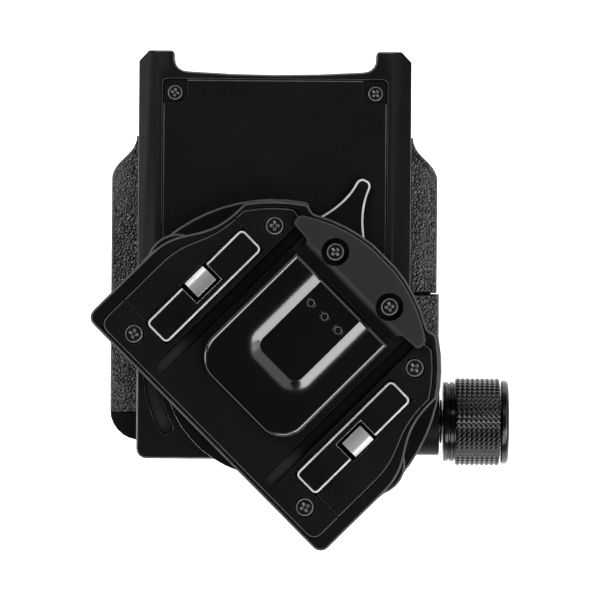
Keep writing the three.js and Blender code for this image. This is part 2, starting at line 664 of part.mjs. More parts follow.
/** Where the knuckles end, short of the friction washers. */
const KNUCKLE_END = HEAD_HALF - WASHER_THICK - GAP;

/** The head's casting: frame, hub and hinge knuckles. */
function buildHeadFrame() {
  const knuckleTop = HEAD_BACK + KNUCKLE_CLEARANCE;
  const knuckle = [
    ...arc(PIN_Y, PIN_Z, BARREL_R, 180, 360),
    new THREE.Vector2(PIN_Y + BARREL_R, knuckleTop),
    new THREE.Vector2(PIN_Y - BARREL_R, knuckleTop),
  ];
  const outer = HEAD_HALF + PAST;
  const bushBore = PIN_R + GAP + BUSH_WALL + GAP;
  const bushEnd = KNUCKLE_END - BUSH_LENGTH - GAP;
  const slot = (side) => plate(
    arcBand(SLOT_R, SLOT_WIDTH, ...slotAngles(side)), HEAD_TOP - SLOT_DEPTH, HEAD_TOP + PAST);
  const panelHole = (side) => post(
    side * PANEL_SCREW_X, PANEL_SCREW_Y, PANEL_SCREW.shank + GAP, HEAD_BACK - PAST, HEAD_TOP);
  const frame = cut(
    join(
      plate(headOutline(), HEAD_BACK, HEAD_TOP, EDGE),
      post(0, 0, HUB_R, HUB_BOTTOM, HEAD_BACK + PAST),
      barAlongX(knuckle, -KNUCKLE_END, -KNUCKLE_INNER),
      barAlongX(knuckle, KNUCKLE_INNER, KNUCKLE_END),
    ),
    ...bothSides(railCutter),
    ...bothSides(slot),
    ...bothSides(panelHole),
    plate(panelOutline(GAP), PANEL_SEAT - GAP, HEAD_TOP + PAST),
    pinBar(PIN_R + GAP, -outer, outer),
    pinBar(bushBore, -outer, -bushEnd),
    pinBar(bushBore, bushEnd, outer),
    post(0, 0, SPINDLE_R + BUSH_WALL + 2 * GAP, HUB_BOTTOM - PAST, HEAD_TOP + PAST),
    post(0, 0, FLANGE_R + GAP, HEAD_TOP - FLANGE_THICK - 2 * GAP, HEAD_TOP + PAST),
  );
  addPiece(head, 'head_frame', frame, 'frame');
}

/** Start and end angle of an arc slot, anticlockwise from +X. */
function slotAngles(side) {
  const angles = [SLOT_FROM, SLOT_TO].map((a) => (side > 0 ? a - 90 : 270 - a));
  return side > 0 ? angles : angles.reverse();
}

/** The panel with its screws, the slot strips and the bushes. */
function buildHeadPieces() {
  const tabTop = PANEL_SEAT + TAB_THICK;
  const tab = (side) => {
    const inner = PANEL_HALF - TAB_WIDTH;
    const low = PANEL_TOP - TAB_HEIGHT;
    const outer = PANEL_HALF + PAST;
    const high = PANEL_TOP + PAST;
    const right = rounded([[inner, low, TAB_CORNER], [outer, low], [outer, high], [inner, high]]);
    return plate(side > 0 ? right : mirrored(right), tabTop, HEAD_TOP + PAST);
  };
  const hole = (side) => post(
    side * PANEL_SCREW_X, PANEL_SCREW_Y, PANEL_SCREW.shank + GAP, PANEL_SEAT - PAST, tabTop + PAST);
  const panel = plate(panelOutline(0), PANEL_SEAT, PANEL_SEAT + PANEL_THICK, COVER_EDGE);
  addPiece(head, 'panel_cover', cut(panel, ...bothSides(tab), ...bothSides(hole)), 'panel');
  eachSide((name, side) => {
    const panelScrew = screw(
      side * PANEL_SCREW_X, PANEL_SCREW_Y, tabTop + GAP, PANEL_SCREW, PANEL_SCREW_LENGTH);
    addPiece(head, `${name}_panel_screw`, panelScrew, 'screw');
    const stripBack = HEAD_TOP - SLOT_DEPTH + GAP;
    const band = arcBand(SLOT_R, SLOT_WIDTH - 2 * GAP, ...slotAngles(side));
    addPiece(head, `${name}_slot_strip`, plate(band, stripBack, stripBack + STRIP_THICK), 'strip');
    const inner = KNUCKLE_END - BUSH_LENGTH;
    const [x0, x1] = side < 0 ? [-KNUCKLE_END, -inner] : [inner, KNUCKLE_END];
    const bush = pinBar(PIN_R + GAP + BUSH_WALL, x0, x1);
    const bore = pinBar(PIN_R + GAP, x0 - PAST, x1 + PAST);
    addPiece(head, `${name}_altitude_bush`, cut(bush, bore), 'brass');
  });
  const sleeve = post(0, 0, SPINDLE_R + GAP + BUSH_WALL, HUB_BOTTOM, HEAD_TOP - FLANGE_THICK);
  const flange = post(0, 0, FLANGE_R, HEAD_TOP - GAP - FLANGE_THICK, HEAD_TOP - GAP);
  const bore = post(0, 0, SPINDLE_R + GAP, HUB_BOTTOM - PAST, HEAD_TOP + PAST);
  addPiece(head, 'azimuth_bush', cut(join(sleeve, flange), bore), 'brass');
}

// ---------------------------------------------------------------- turntable
/** Right half of a round crown, cut back along the crescent; inset is from the plate's own line. */
function notchedCrown(r, from, inset) {
  const foot = NOTCH_R - inset;
  const low = NOTCH_HALF + inset;
  const high = low + NOTCH_FLARE;
  const on = (radius, x) => new THREE.Vector2(x, Math.sqrt(radius ** 2 - x ** 2));
  const step = new THREE.CubicBezierCurve(
    on(r, high + NOTCH_EASE), on(r, high), on(foot, low), on(foot, low - NOTCH_EASE),
  ).getPoints(CURVE_STEPS);
  const [start, end] = [step[0], step.at(-1)].map((p) => p.angle() / DEG);
  return [...arc(0, 0, r, from, start).slice(0, -1), ...step, ...arc(0, 0, foot, end, 90).slice(1, -1)];
}

/** Outline of the device plate or its cover: square foot, curved shoulders and round crown. */
function plateOutline(half, bottom, neck, crownR) {
  const crownStart = Math.acos(neck / crownR) / DEG;
  const shoulder = new THREE.CubicBezierCurve(
    new THREE.Vector2(half, SHOULDER_LOW),
    new THREE.Vector2(half, SHOULDER_BEND),
    new THREE.Vector2(neck, SHOULDER_BEND),
    new THREE.Vector2(neck, SHOULDER_HIGH),
  ).getPoints(CURVE_STEPS);
  const corner = rounded([[0, bottom], [half, bottom, PLATE_CORNER], [half, 0]]).slice(1, -1);
  return bothHalves([...corner, ...shoulder, ...notchedCrown(crownR, crownStart, CROWN_R - crownR)]);
}

/** Outline of the inner cover, grown by a clearance for its pocket. */
const coverOutline = (grow) => plateOutline(
  PLATE_HALF - RIM_SIDE + grow,
  PLATE_BOTTOM + RIM_BOTTOM - grow,
  PLATE_NECK - RIM_NECK + grow,
  CROWN_R - RIM_CROWN + grow,
);

/** A round disc with the flat chord along the plate's lower edge and the crown's notch. */
function chordDisc(r) {
  const chord = Math.asin(PLATE_BOTTOM / r) / DEG;
  return bothHalves(notchedCrown(r, chord, GAP));
}

/** Window that a pawl sinks through. */
const pawlWindow = (side, z0, z1) => sideBlock(
  side, WINDOW_INNER, WINDOW_LOW, z0, WINDOW_OUTER, WINDOW_HIGH, z1);

/** Place of a stop stud, in the middle of its arc slot. */
function stopStud(side) {
  const angle = ((SLOT_FROM + SLOT_TO) / 2 - 90) * DEG;
  return [side * SLOT_R * Math.cos(angle), SLOT_R * Math.sin(angle)];
}

/** Channel beside the tongue, or the strip in it, by its width. */
function channel(side, z0, z1, width) {
  const half = width / 2;
  const middle = side * CHANNEL_X;
  return plate(rectangle(middle - half, CHANNEL_LOW, middle + half, CHANNEL_HIGH, half - SAGITTA), z0, z1);
}

const COVER_SHANK_HOLE = COVER_SCREW.shank + GAP;
const coverHoles = (z0, z1, r) => COVER_SCREWS.map(([x, y]) => post(x, y, r, z0, z1));
const crescentHoles = (z0, z1) => bothSides((side) => (
  post(side * CRESCENT_SCREW[0], CRESCENT_SCREW[1], CRESCENT_SCREW_SIZE.shank + GAP, z0, z1)));

/** Disc on the spindle, and the carrier between it and the device plate. */
function buildDiscAndCarrier() {
  const disc = cut(
    plate(chordDisc(DISC_R), DISC_BACK, DISC_BACK + DISC_THICK, EDGE),
    post(0, 0, SPINDLE_R + GAP, DISC_BACK - PAST, CARRIER_BACK),
    ...bothSides((side) => post(...stopStud(side), STUD_R + GAP, DISC_BACK - PAST, CARRIER_BACK)),
  );
  addPiece(turntable, 'turntable_disc', disc, 'plate');
  const lug = (side) => plate(
    circle(side * LUG_X, LUG_Y, LUG_R), CARRIER_BACK, CARRIER_BACK + CARRIER_THICK, EDGE,
  ).intersect(block(-REACH, LUG_BOTTOM, 0, REACH, REACH, REACH));
  const carrier = cut(
    join(
      plate(coverOutline(CARRIER_GROW), CARRIER_BACK, CARRIER_BACK + CARRIER_THICK),
      ...bothSides(lug),
    ),
    post(0, 0, SPINDLE_FLANGE_R + GAP, CARRIER_BACK - PAST, PLATE_BACK),
    ...bothSides((side) => pawlWindow(side, CARRIER_BACK - PAST, PLATE_BACK)),
    ...coverHoles(CARRIER_BACK - PAST, PLATE_BACK, COVER_SHANK_HOLE),
  );
  addPiece(turntable, 'carrier_plate', carrier, 'plate');
}

/** Front plate and the cover sunk in its face, with the cover's screws. */
function buildFrontPlate() {
  const above = COVER_TOP + PAST;
  const front = cut(
    plate(plateOutline(PLATE_HALF, PLATE_BOTTOM, PLATE_NECK, CROWN_R), PLATE_BACK, PLATE_TOP, EDGE),
    plate(coverOutline(GAP), PLATE_FLOOR, above),
    ...bothSides((side) => pawlWindow(side, PLATE_BACK - PAST, PLATE_TOP)),
    ...bothSides((side) => channel(side, PLATE_BACK + GAP, PLATE_TOP, CHANNEL_WIDTH)),
    ...coverHoles(PLATE_BACK - PAST, PLATE_TOP, COVER_SHANK_HOLE),
    ...crescentHoles(PLATE_BACK - PAST, PLATE_TOP),
  );
  addPiece(turntable, 'front_plate', front, 'plate');
  const railHole = (side) => sideBlock(
    side, RAIL_INNER - GAP, RAIL_LOW - GAP, PLATE_FLOOR, RAIL_OUTER + GAP, RAIL_HIGH + GAP, above);
  const sideHole = (side) => sideBlock(
    side, RAIL_OUTER, SIDE_LOW - GAP, PLATE_FLOOR, PLATE_HALF, SIDE_HIGH + GAP, above);
  const screwSeat = COVER_TOP - COVER_SCREW.height - COVER_SCREW_SINK;
  const cover = cut(
    plate(coverOutline(0), COVER_BACK, COVER_TOP, COVER_EDGE),
    ...bothSides(railHole),
    ...bothSides(sideHole),
    ...bothSides((side) => channel(side, COVER_BACK - PAST, above, CHANNEL_WIDTH)),
    ...coverHoles(COVER_BACK - PAST, above, COVER_SHANK_HOLE),
    ...coverHoles(screwSeat - GAP, above, COVER_BORE_R),
    ...crescentHoles(COVER_BACK - PAST, above),
  );
  addPiece(turntable, 'face_cover', cover, 'plate');
  COVER_SCREWS.forEach(([x, y], i) => {
    const coverScrew = screw(x, y, screwSeat, COVER_SCREW, COVER_SCREW_LENGTH);
    addPiece(turntable, `cover_screw_${i + 1}`, coverScrew, 'screw');
  });
}

/** What each side of the plate carries: cover, rail, strip, stop stud, pawl and its spring. */
function buildPlateSides() {
  eachSide((name, side) => {
    const add = (piece, body, finish) => addPiece(turntable, `${name}_${piece}`, body, finish);
    const sideCover = plate(coverOutline(0), COVER_BACK, COVER_TOP, COVER_EDGE).intersect(
      sideBlock(side, RAIL_OUTER + GAP, SIDE_LOW, 0, PLATE_HALF, SIDE_HIGH, COVER_TOP + PAST));
    add('side_cover', cut(sideCover, pawlWindow(side, 0, REACH)), 'pad');
    const [x0, x1] = side > 0 ? [RAIL_INNER, RAIL_OUTER] : [-RAIL_OUTER, -RAIL_INNER];
    const railOutline = rectangle(x0, RAIL_LOW, x1, RAIL_HIGH, RAIL_CORNER);
    const rail = plate(railOutline, COVER_BACK, COVER_TOP + RAIL_PROUD, EDGE);
    add('guide_rail', cut(rail, pawlWindow(side, 0, REACH)), 'plate');
    const strip = channel(side, PLATE_BACK + 2 * GAP, PLATE_FLOOR + 2 * GAP, CHANNEL_WIDTH - 2 * GAP);
    add('channel_strip', strip, 'strip');
    const studBottom = HEAD_TOP - SLOT_DEPTH + STRIP_THICK + 2 * GAP;
    add('stop_stud', post(...stopStud(side), STUD_R, studBottom, DISC_BACK + DISC_THICK), 'steel');
    add('pawl', buildPawl(side), 'steel');
    const spot = [(side * (PAWL_INNER + PAWL_OUTER)) / 2, (PAWL_LOW + PAWL_HIGH) / 2];
    const coil = post(...spot, PAWL_SPRING_R, CARRIER_BACK, PAWL_BACK - GAP);
    add('pawl_spring', cut(coil, post(...spot, PAWL_SPRING_R - PAWL_SPRING_WALL, 0, REACH)), 'steel');
  });
}

/** A latch pawl: a block with a sloped outer shoulder. */
function buildPawl(side) {
  const top = COVER_TOP + RAIL_PROUD;
  const body = sideBlock(side, PAWL_INNER, PAWL_LOW, PAWL_BACK, PAWL_OUTER, PAWL_HIGH, top);
  const slope = PAWL_SHOULDER_DROP / PAWL_SHOULDER;
  const section = [
    [PAWL_OUTER - PAWL_SHOULDER, top], [PAWL_OUTER - PAWL_SHOULDER, top + PAST],
    [PAWL_OUTER + PAST, top + PAST], [PAWL_OUTER + PAST, top - PAWL_SHOULDER_DROP - PAST * slope],
  ].map(([x, z]) => new THREE.Vector2(side * x, z));
  return cut(body, barAlongY(section, PAWL_LOW - PAST, PAWL_HIGH + PAST));
}

/** Level that the tongue and the crescent stop stand on. */
const FACE_BASE = COVER_TOP + GAP;

/** Tongue with its thumb recess and three dimples. */
function buildTongue() {
  const top = FACE_BASE + TONGUE_THICK;
  const outline = rounded([
    [-TONGUE_HALF, TONGUE_LOW, TONGUE_CORNER], [TONGUE_HALF, TONGUE_LOW, TONGUE_CORNER],
    [TONGUE_HALF, TONGUE_HIGH], [-TONGUE_HALF, TONGUE_HIGH],
  ]);
  const beyond = TONGUE_HIGH + 2 * RECESS_SLOPE;
  const recessOutline = rounded([
    [-RECESS_HALF, RECESS_LOW, RECESS_CORNER], [RECESS_HALF, RECESS_LOW, RECESS_CORNER],
    [RECESS_HALF, beyond], [-RECESS_HALF, beyond],
  ]);
  const recess = solid(new THREE.ExtrudeGeometry(new THREE.Shape(recessOutline), {
    depth: PAST,
    bevelSize: RECESS_SLOPE,
    bevelOffset: -RECESS_SLOPE,
    bevelThickness: RECESS_DEPTH,
    bevelSegments: 1,
  }).translate(0, 0, top));
  const floor = top - RECESS_DEPTH - DIMPLE_DEPTH;
  const dimples = [-1, 0, 1].map((i) => post(i * DIMPLE_PITCH, DIMPLE_Y, DIMPLE_R, floor, top));
  const tongue = cut(plate(outline, FACE_BASE, top, TONGUE_EDGE), recess, ...dimples);
  addPiece(turntable, 'tongue', tongue, 'gloss');
}

/** Crescent stop at the crown, sloped towards the tongue, with its two sunk screws. */
function buildCrescent() {
  const top = FACE_BASE + CRESCENT_THICK;
  const [tipX, tipY] = CRESCENT_TIP;
  const end = Math.atan2(tipY + CRESCENT_END[1], tipX + CRESCENT_END[0]);
  const [c, d] = [Math.cos(end), Math.sin(end)];
  const corners = rounded([
    [0, CRESCENT_LOW], [TONGUE_HALF, CRESCENT_LOW, CRESCENT_TIP_CORNER],
    [TONGUE_HALF, CRESCENT_STEP, CRESCENT_TIP_CORNER], [tipX, tipY, CRESCENT_TIP_CORNER],
    [CRESCENT_R * c, CRESCENT_R * d, CRESCENT_OUTER_CORNER],
    [CRESCENT_R * (c - d), CRESCENT_R * (d + c)],
  ]).slice(1, -1);
  const from = corners.at(-1).angle() / DEG;
  const outline = bothHalves([...corners, ...arc(0, 0, CRESCENT_R, from, 90).slice(1, -1)]);
  const low = top - CRESCENT_SLOPE_DROP;
  const slope = barAlongX([
    new THREE.Vector2(CRESCENT_LOW - PAST, low),
    new THREE.Vector2(CRESCENT_LOW, low),
    new THREE.Vector2(CRESCENT_STEP + CRESCENT_LAND, top),
    new THREE.Vector2(CRESCENT_STEP + CRESCENT_LAND, top + PAST),
    new THREE.Vector2(CRESCENT_LOW - PAST, top + PAST),
  ], -TONGUE_HALF - PAST, TONGUE_HALF + PAST);
  const seat = top - CRESCENT_SINK;
  const bore = (side) => post(
    side * CRESCENT_SCREW[0], CRESCENT_SCREW[1], CRESCENT_BORE_R, seat, top + PAST);
  const crescent = cut(
    plate(outline, FACE_BASE, top, EDGE),
    slope,
    ...bothSides(bore),
    ...crescentHoles(FACE_BASE - PAST, top),
  );
  addPiece(turntable, 'crescent_stop', crescent, 'stop');
  eachSide((name, side) => {
    const crescentScrew = screw(
      side * CRESCENT_SCREW[0], CRESCENT_SCREW[1], seat + GAP, CRESCENT_SCREW_SIZE, CRESCENT_SCREW_LENGTH);
    addPiece(turntable, `${name}_crescent_screw`, crescentScrew, 'screw');
  });
}

/** Azimuth spindle with its wave washer and nut. */
function buildSpindle() {
  const nutTop = HUB_BOTTOM - 2 * GAP - WAVE_THICK;
  const nutBack = nutTop - NUT_THICK;
  const spindle = join(
    post(0, 0, SPINDLE_R, nutBack - SPINDLE_TAIL, CARRIER_BACK + PAST),
    post(0, 0, SPINDLE_FLANGE_R, CARRIER_BACK, CARRIER_BACK + CARRIER_THICK),
  );
  addPiece(turntable, 'azimuth_spindle', spindle, 'steel');
  const bore = post(0, 0, SPINDLE_R + GAP, 0, HUB_BOTTOM);
  addPiece(turntable, 'wave_washer', cut(post(0, 0, NUT_R, nutTop + GAP, HUB_BOTTOM - GAP), bore), 'steel');
  const hexagon = Array.from({ length: 6 }, (_, i) => {
    const a = i * 60 * DEG;
    return new THREE.Vector2(NUT_R * Math.cos(a), NUT_R * Math.sin(a));
  });
  addPiece(turntable, 'spindle_nut', cut(plate(hexagon, nutBack, nutTop), bore), 'steel');
}

/** Release lever under the disc, with the spring in its window. */
function buildLever() {
  const tipCentre = LEVER_TIP_R - LEVER_TIP_HALF;
  const flank = new THREE.QuadraticBezierCurve(
    new THREE.Vector2(LEVER_ROOT_HALF, LEVER_NECK_R),
    new THREE.Vector2(...LEVER_BEND),
    new THREE.Vector2(LEVER_TIP_HALF, tipCentre),
  ).getPoints(CURVE_STEPS);
  const tip = arc(0, tipCentre, LEVER_TIP_HALF, 0, 90).slice(1, -1);
  const arm = bothHalves([new THREE.Vector2(LEVER_ROOT_HALF, 0), ...flank, ...tip]);
  const top = LEVER_BACK + LEVER_THICK;
  const reach = LEVER_SPRING_HALF + GAP;
  const lever = cut(
    join(plate(circle(0, 0, LEVER_R), LEVER_BACK, top), plate(arm, LEVER_BACK, top, EDGE)),
    post(0, 0, SPINDLE_R + 2 * GAP, 0, REACH),
    block(-reach, LEVER_SPRING_Y - LEVER_WINDOW_HALF, 0, reach, LEVER_SPRING_Y + LEVER_WINDOW_HALF, REACH),
  );
  const leverGroup = new THREE.Group();
  leverGroup.rotation.z = LEVER_ANGLE * DEG;
  turntable.add(leverGroup);
  addPiece(leverGroup, 'release_lever', lever, 'plate');
  const wire = circle(LEVER_SPRING_Y, LEVER_BACK + LEVER_THICK / 2, LEVER_SPRING_R);
  const coil = barAlongX(wire, -LEVER_SPRING_HALF, LEVER_SPRING_HALF);
  addPiece(leverGroup, 'lever_spring', coil, 'steel');
}

buildBackPlate();
buildCheeks();
buildClampBlock();
buildPin();
buildKnob();
buildHeadFrame();
buildHeadPieces();
buildDiscAndCarrier();
buildFrontPlate();
buildPlateSides();
buildTongue();
buildCrescent();
buildSpindle();
buildLever();

export default mount;
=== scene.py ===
"""Looks of the alt azimuth mount: finishes, fine surfaces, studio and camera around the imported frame."""

import json
import logging
import math
from dataclasses import dataclass, field
from enum import Enum

import bmesh
import bpy
import numpy as np
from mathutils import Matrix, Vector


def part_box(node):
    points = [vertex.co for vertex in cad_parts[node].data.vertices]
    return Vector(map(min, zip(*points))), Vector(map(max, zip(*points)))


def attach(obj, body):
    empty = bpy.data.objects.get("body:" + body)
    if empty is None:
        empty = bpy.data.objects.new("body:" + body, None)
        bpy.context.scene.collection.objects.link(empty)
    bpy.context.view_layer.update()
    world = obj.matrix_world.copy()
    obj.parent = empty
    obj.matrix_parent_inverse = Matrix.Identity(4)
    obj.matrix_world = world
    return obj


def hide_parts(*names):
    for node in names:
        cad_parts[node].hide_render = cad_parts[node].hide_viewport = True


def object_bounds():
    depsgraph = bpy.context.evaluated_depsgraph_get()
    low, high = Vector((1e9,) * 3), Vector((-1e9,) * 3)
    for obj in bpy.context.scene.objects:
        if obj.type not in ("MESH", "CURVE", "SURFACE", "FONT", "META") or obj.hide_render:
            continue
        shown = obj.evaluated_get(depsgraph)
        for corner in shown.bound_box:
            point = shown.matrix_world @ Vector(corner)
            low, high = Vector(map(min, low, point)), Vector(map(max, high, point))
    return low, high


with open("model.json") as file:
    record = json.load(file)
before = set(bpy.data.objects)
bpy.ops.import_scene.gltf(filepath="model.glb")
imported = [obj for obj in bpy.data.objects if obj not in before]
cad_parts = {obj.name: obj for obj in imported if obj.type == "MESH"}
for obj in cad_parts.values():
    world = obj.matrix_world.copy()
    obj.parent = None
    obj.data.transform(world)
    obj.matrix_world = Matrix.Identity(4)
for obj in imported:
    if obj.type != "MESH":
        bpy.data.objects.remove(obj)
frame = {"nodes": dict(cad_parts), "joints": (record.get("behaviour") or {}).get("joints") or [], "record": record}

CAD_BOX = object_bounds()
MM = 0.001
LOG = logging.getLogger("mount")
BODIES = frame["record"]["behaviour"]["bodies"]
AZIMUTH = next(joint for joint in frame["joints"] if joint["name"] == "azimuth")
REST_TURN = math.radians(-AZIMUTH["range_deg"][1] / 2)
PIN_AXIS = np.array(next(joint for joint in frame["joints"] if joint["name"] == "altitude")["pos_m"])


# ------------------------------------------------------------------ numbers and outlines
def body_of_node(node: str) -> str:
    """Name of the CAD body that holds a node.

    Args:
        node: name of a CAD node.

    Returns:
        The body's name.
    """
    return next(body for body, members in BODIES.items() if node in members)


def corners_of(node: str) -> tuple[np.ndarray, np.ndarray]:
    """Lowest and highest corner of a CAD node at rest.

    Args:
        node: name of a CAD node.

    Returns:
        Two arrays of x, y and z in metres.
    """
    low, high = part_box(node)
    return np.array(low, float), np.array(high, float)


def smooth_step(value: np.ndarray) -> np.ndarray:
    """Eases 0..1 with the cubic 3t^2 - 2t^3, flat outside that span.

    Args:
        value: numbers to ease.

    Returns:
        Eased numbers from 0 to 1.
    """
    t = np.clip(value, 0.0, 1.0)
    return t * t * (3.0 - 2.0 * t)


def turned(points: np.ndarray, angle: float) -> np.ndarray:
    """Turns points about the azimuth axis.

    Args:
        points: array whose last axis is x, y and z.
        angle: anticlockwise angle in radians.

    Returns:
        The turned points.
    """
    c, s = math.cos(angle), math.sin(angle)
    x, y = points[..., 0], points[..., 1]
    return np.stack([c * x - s * y, s * x + c * y, points[..., 2]], axis=-1)


def along_pin(points: np.ndarray) -> np.ndarray:
    """Lays an upright turned shape along the altitude pin: its z becomes x.

    Args:
        points: array whose last axis is x, y and z about an upright axis.

    Returns:
        The same shape about the pin's axis.
    """
    laid = np.stack([points[..., 2], points[..., 0], points[..., 1]], axis=-1)
    return laid + np.array([0.0, PIN_AXIS[1], PIN_AXIS[2]])


def box_distance(x: np.ndarray, y: np.ndarray, low: tuple, high: tuple, radius: float) -> np.ndarray:
    """Signed distance to a rounded rectangle, negative inside.

    Args:
        x: places across.
        y: places up.
        low: lower left corner.
        high: upper right corner.
        radius: corner radius.

    Returns:
        The distances.
    """
    qx = np.abs(x - (low[0] + high[0]) / 2) - (high[0] - low[0]) / 2 + radius
    qy = np.abs(y - (low[1] + high[1]) / 2) - (high[1] - low[1]) / 2 + radius
    outside = np.hypot(np.maximum(qx, 0), np.maximum(qy, 0))
    return np.minimum(np.maximum(qx, qy), 0) + outside - radius


def pebbles(x: np.ndarray, y: np.ndarray, size: float, seed: int) -> np.ndarray:
    """Heights of a pebble grain: domes round jittered points, parted by creases.

    The height eases up with the second-nearest distance minus the nearest one.

    Args:
        x: places across.
        y: places along.
        size: mean width of a pebble.
        seed: seed of the jitter.

    Returns:
        Heights from 0 in a crease to 1 on a dome.
    """
    u, v = x / size, y / size
    cell_u, cell_v = np.floor(u).astype(int), np.floor(v).astype(int)
    table = np.random.default_rng(seed).random((64, 64, 2))
    near = np.full((2, *u.shape), 9.0)
    for du in (-1, 0, 1):
        for dv in (-1, 0, 1):
            jitter = table[(cell_u + du) % 64, (cell_v + dv) % 64]
            gap = np.hypot(cell_u + du + jitter[..., 0] - u, cell_v + dv + jitter[..., 1] - v)
            near[1] = np.minimum(near[1], np.maximum(near[0], gap))
            near[0] = np.minimum(near[0], gap)
    return smooth_step((near[1] - near[0]) / 0.8)


# ------------------------------------------------------------------ meshes
def grid_faces(rows: int, columns: int, closed_rows: bool = False) -> np.ndarray:
    """Quads of a grid whose columns close on themselves.

    Args:
        rows: number of rings.
        columns: points in a ring.
        closed_rows: True if the last ring joins the first.

    Returns:
        Array of four vertex numbers a face.
    """
    index = np.arange(rows * columns).reshape(rows, columns)
    index = np.hstack([index, index[:, :1]])
    if closed_rows:
        index = np.vstack([index, index[:1]])
    low, high = index[:-1], index[1:]
    return np.stack([low[:, :-1], low[:, 1:], high[:, 1:], high[:, :-1]], axis=-1).reshape(-1, 4)


def mesh_of_rings(
    name: str, rings: np.ndarray, sharp: float = 35.0, closed_rows: bool = False
) -> bpy.types.Object:
    """A closed solid from rings of points; its first and last ring are capped.

    Args:
        name: name of the new object.
        rings: array of rings, points, and x, y and z; rings run outward, up and inward.
        sharp: angle in degrees past which an edge stays crisp.
        closed_rows: True for a ring-shaped solid with no caps.

    Returns:
        The new object, in the scene.
    """
    rows, columns = rings.shape[:2]
    faces = grid_faces(rows, columns, closed_rows).tolist()
    if not closed_rows:
        faces.append(list(range(columns))[::-1])
        faces.append(list(range((rows - 1) * columns, rows * columns)))
    mesh = bpy.data.meshes.new(name)
    mesh.from_pydata(rings.reshape(-1, 3).tolist(), [], faces)
    return finish_mesh(name, mesh, sharp)


def finish_mesh(name: str, mesh: bpy.types.Mesh, sharp: float) -> bpy.types.Object:
    """Smooths a mesh, keeps its crisp edges and puts it in the scene.

    Args:
        name: name of the new object.
        mesh: its mesh.
        sharp: angle in degrees past which an edge stays crisp.

    Returns:
        The new object.
    """
    mesh.validate()
    mesh.shade_smooth()
    mesh.set_sharp_from_angle(angle=math.radians(sharp))
    piece = bpy.data.objects.new(name, mesh)
    bpy.context.scene.collection.objects.link(piece)
    return piece


def revolved(profile: np.ndarray, columns: int) -> np.ndarray:
    """Rings of a turned shape about an upright axis.

    Args:
        profile: radius and height, one row a ring.
        columns: points round a ring.

    Returns:
        Array of rings, points, and x, y and z.
    """
    angle = np.linspace(0, 2 * math.pi, columns, endpoint=False)
    radius, height = profile[:, :1], profile[:, 1:]
    level = np.broadcast_to(height, (len(profile), columns))
    return np.stack([radius * np.cos(angle), radius * np.sin(angle), level], axis=-1)


def refined(node: str, width: float, limit: float = 40.0) -> bpy.types.Object:
    """A merged copy of a CAD node with rounded edges, standing for that node.

    Args:
        node: name of the CAD node.
        width: width of the rounding in metres.
        limit: angle in degrees past which an edge is rounded.

    Returns:
        The new piece, riding on the node's body.
    """
    mesh = frame["nodes"][node].data.copy()
    mesh.materials.clear()
    work = bmesh.new()
    work.from_mesh(mesh)
    bmesh.ops.remove_doubles(work, verts=work.verts, dist=2e-6)
    bmesh.ops.dissolve_limit(work, angle_limit=math.radians(0.5), verts=work.verts, edges=work.edges)
    work.to_mesh(mesh)
    work.free()
    for attribute in ("custom_normal", "sharp_edge", "sharp_face"):
        if attribute in mesh.attributes:
            mesh.attributes.remove(mesh.attributes[attribute])
    piece = finish_mesh(f"{node}_shell", mesh, limit)
    bevel = piece.modifiers.new("rounded_edges", "BEVEL")
    bevel.width = width
    bevel.segments = 2
    bevel.limit_method = "ANGLE"
    bevel.angle_limit = math.radians(limit)
    bevel.harden_normals = True
    bevel.use_clamp_overlap = True
    stand_for(piece, node)
    return piece


def stand_for(piece: bpy.types.Object, *nodes: str) -> None:
    """Makes a piece stand for CAD nodes of one body and ride on it.

    Args:
        piece: the new piece.
        nodes: the CAD nodes that it replaces.
    """
    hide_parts(*nodes)
    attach(piece, body_of_node(nodes[0]))


# ------------------------------------------------------------------ finishes
class Pattern(Enum):
    """Fine relief of a finish."""

    PLAIN = "plain"
    GRAIN = "grain"
    PEBBLE = "pebble"


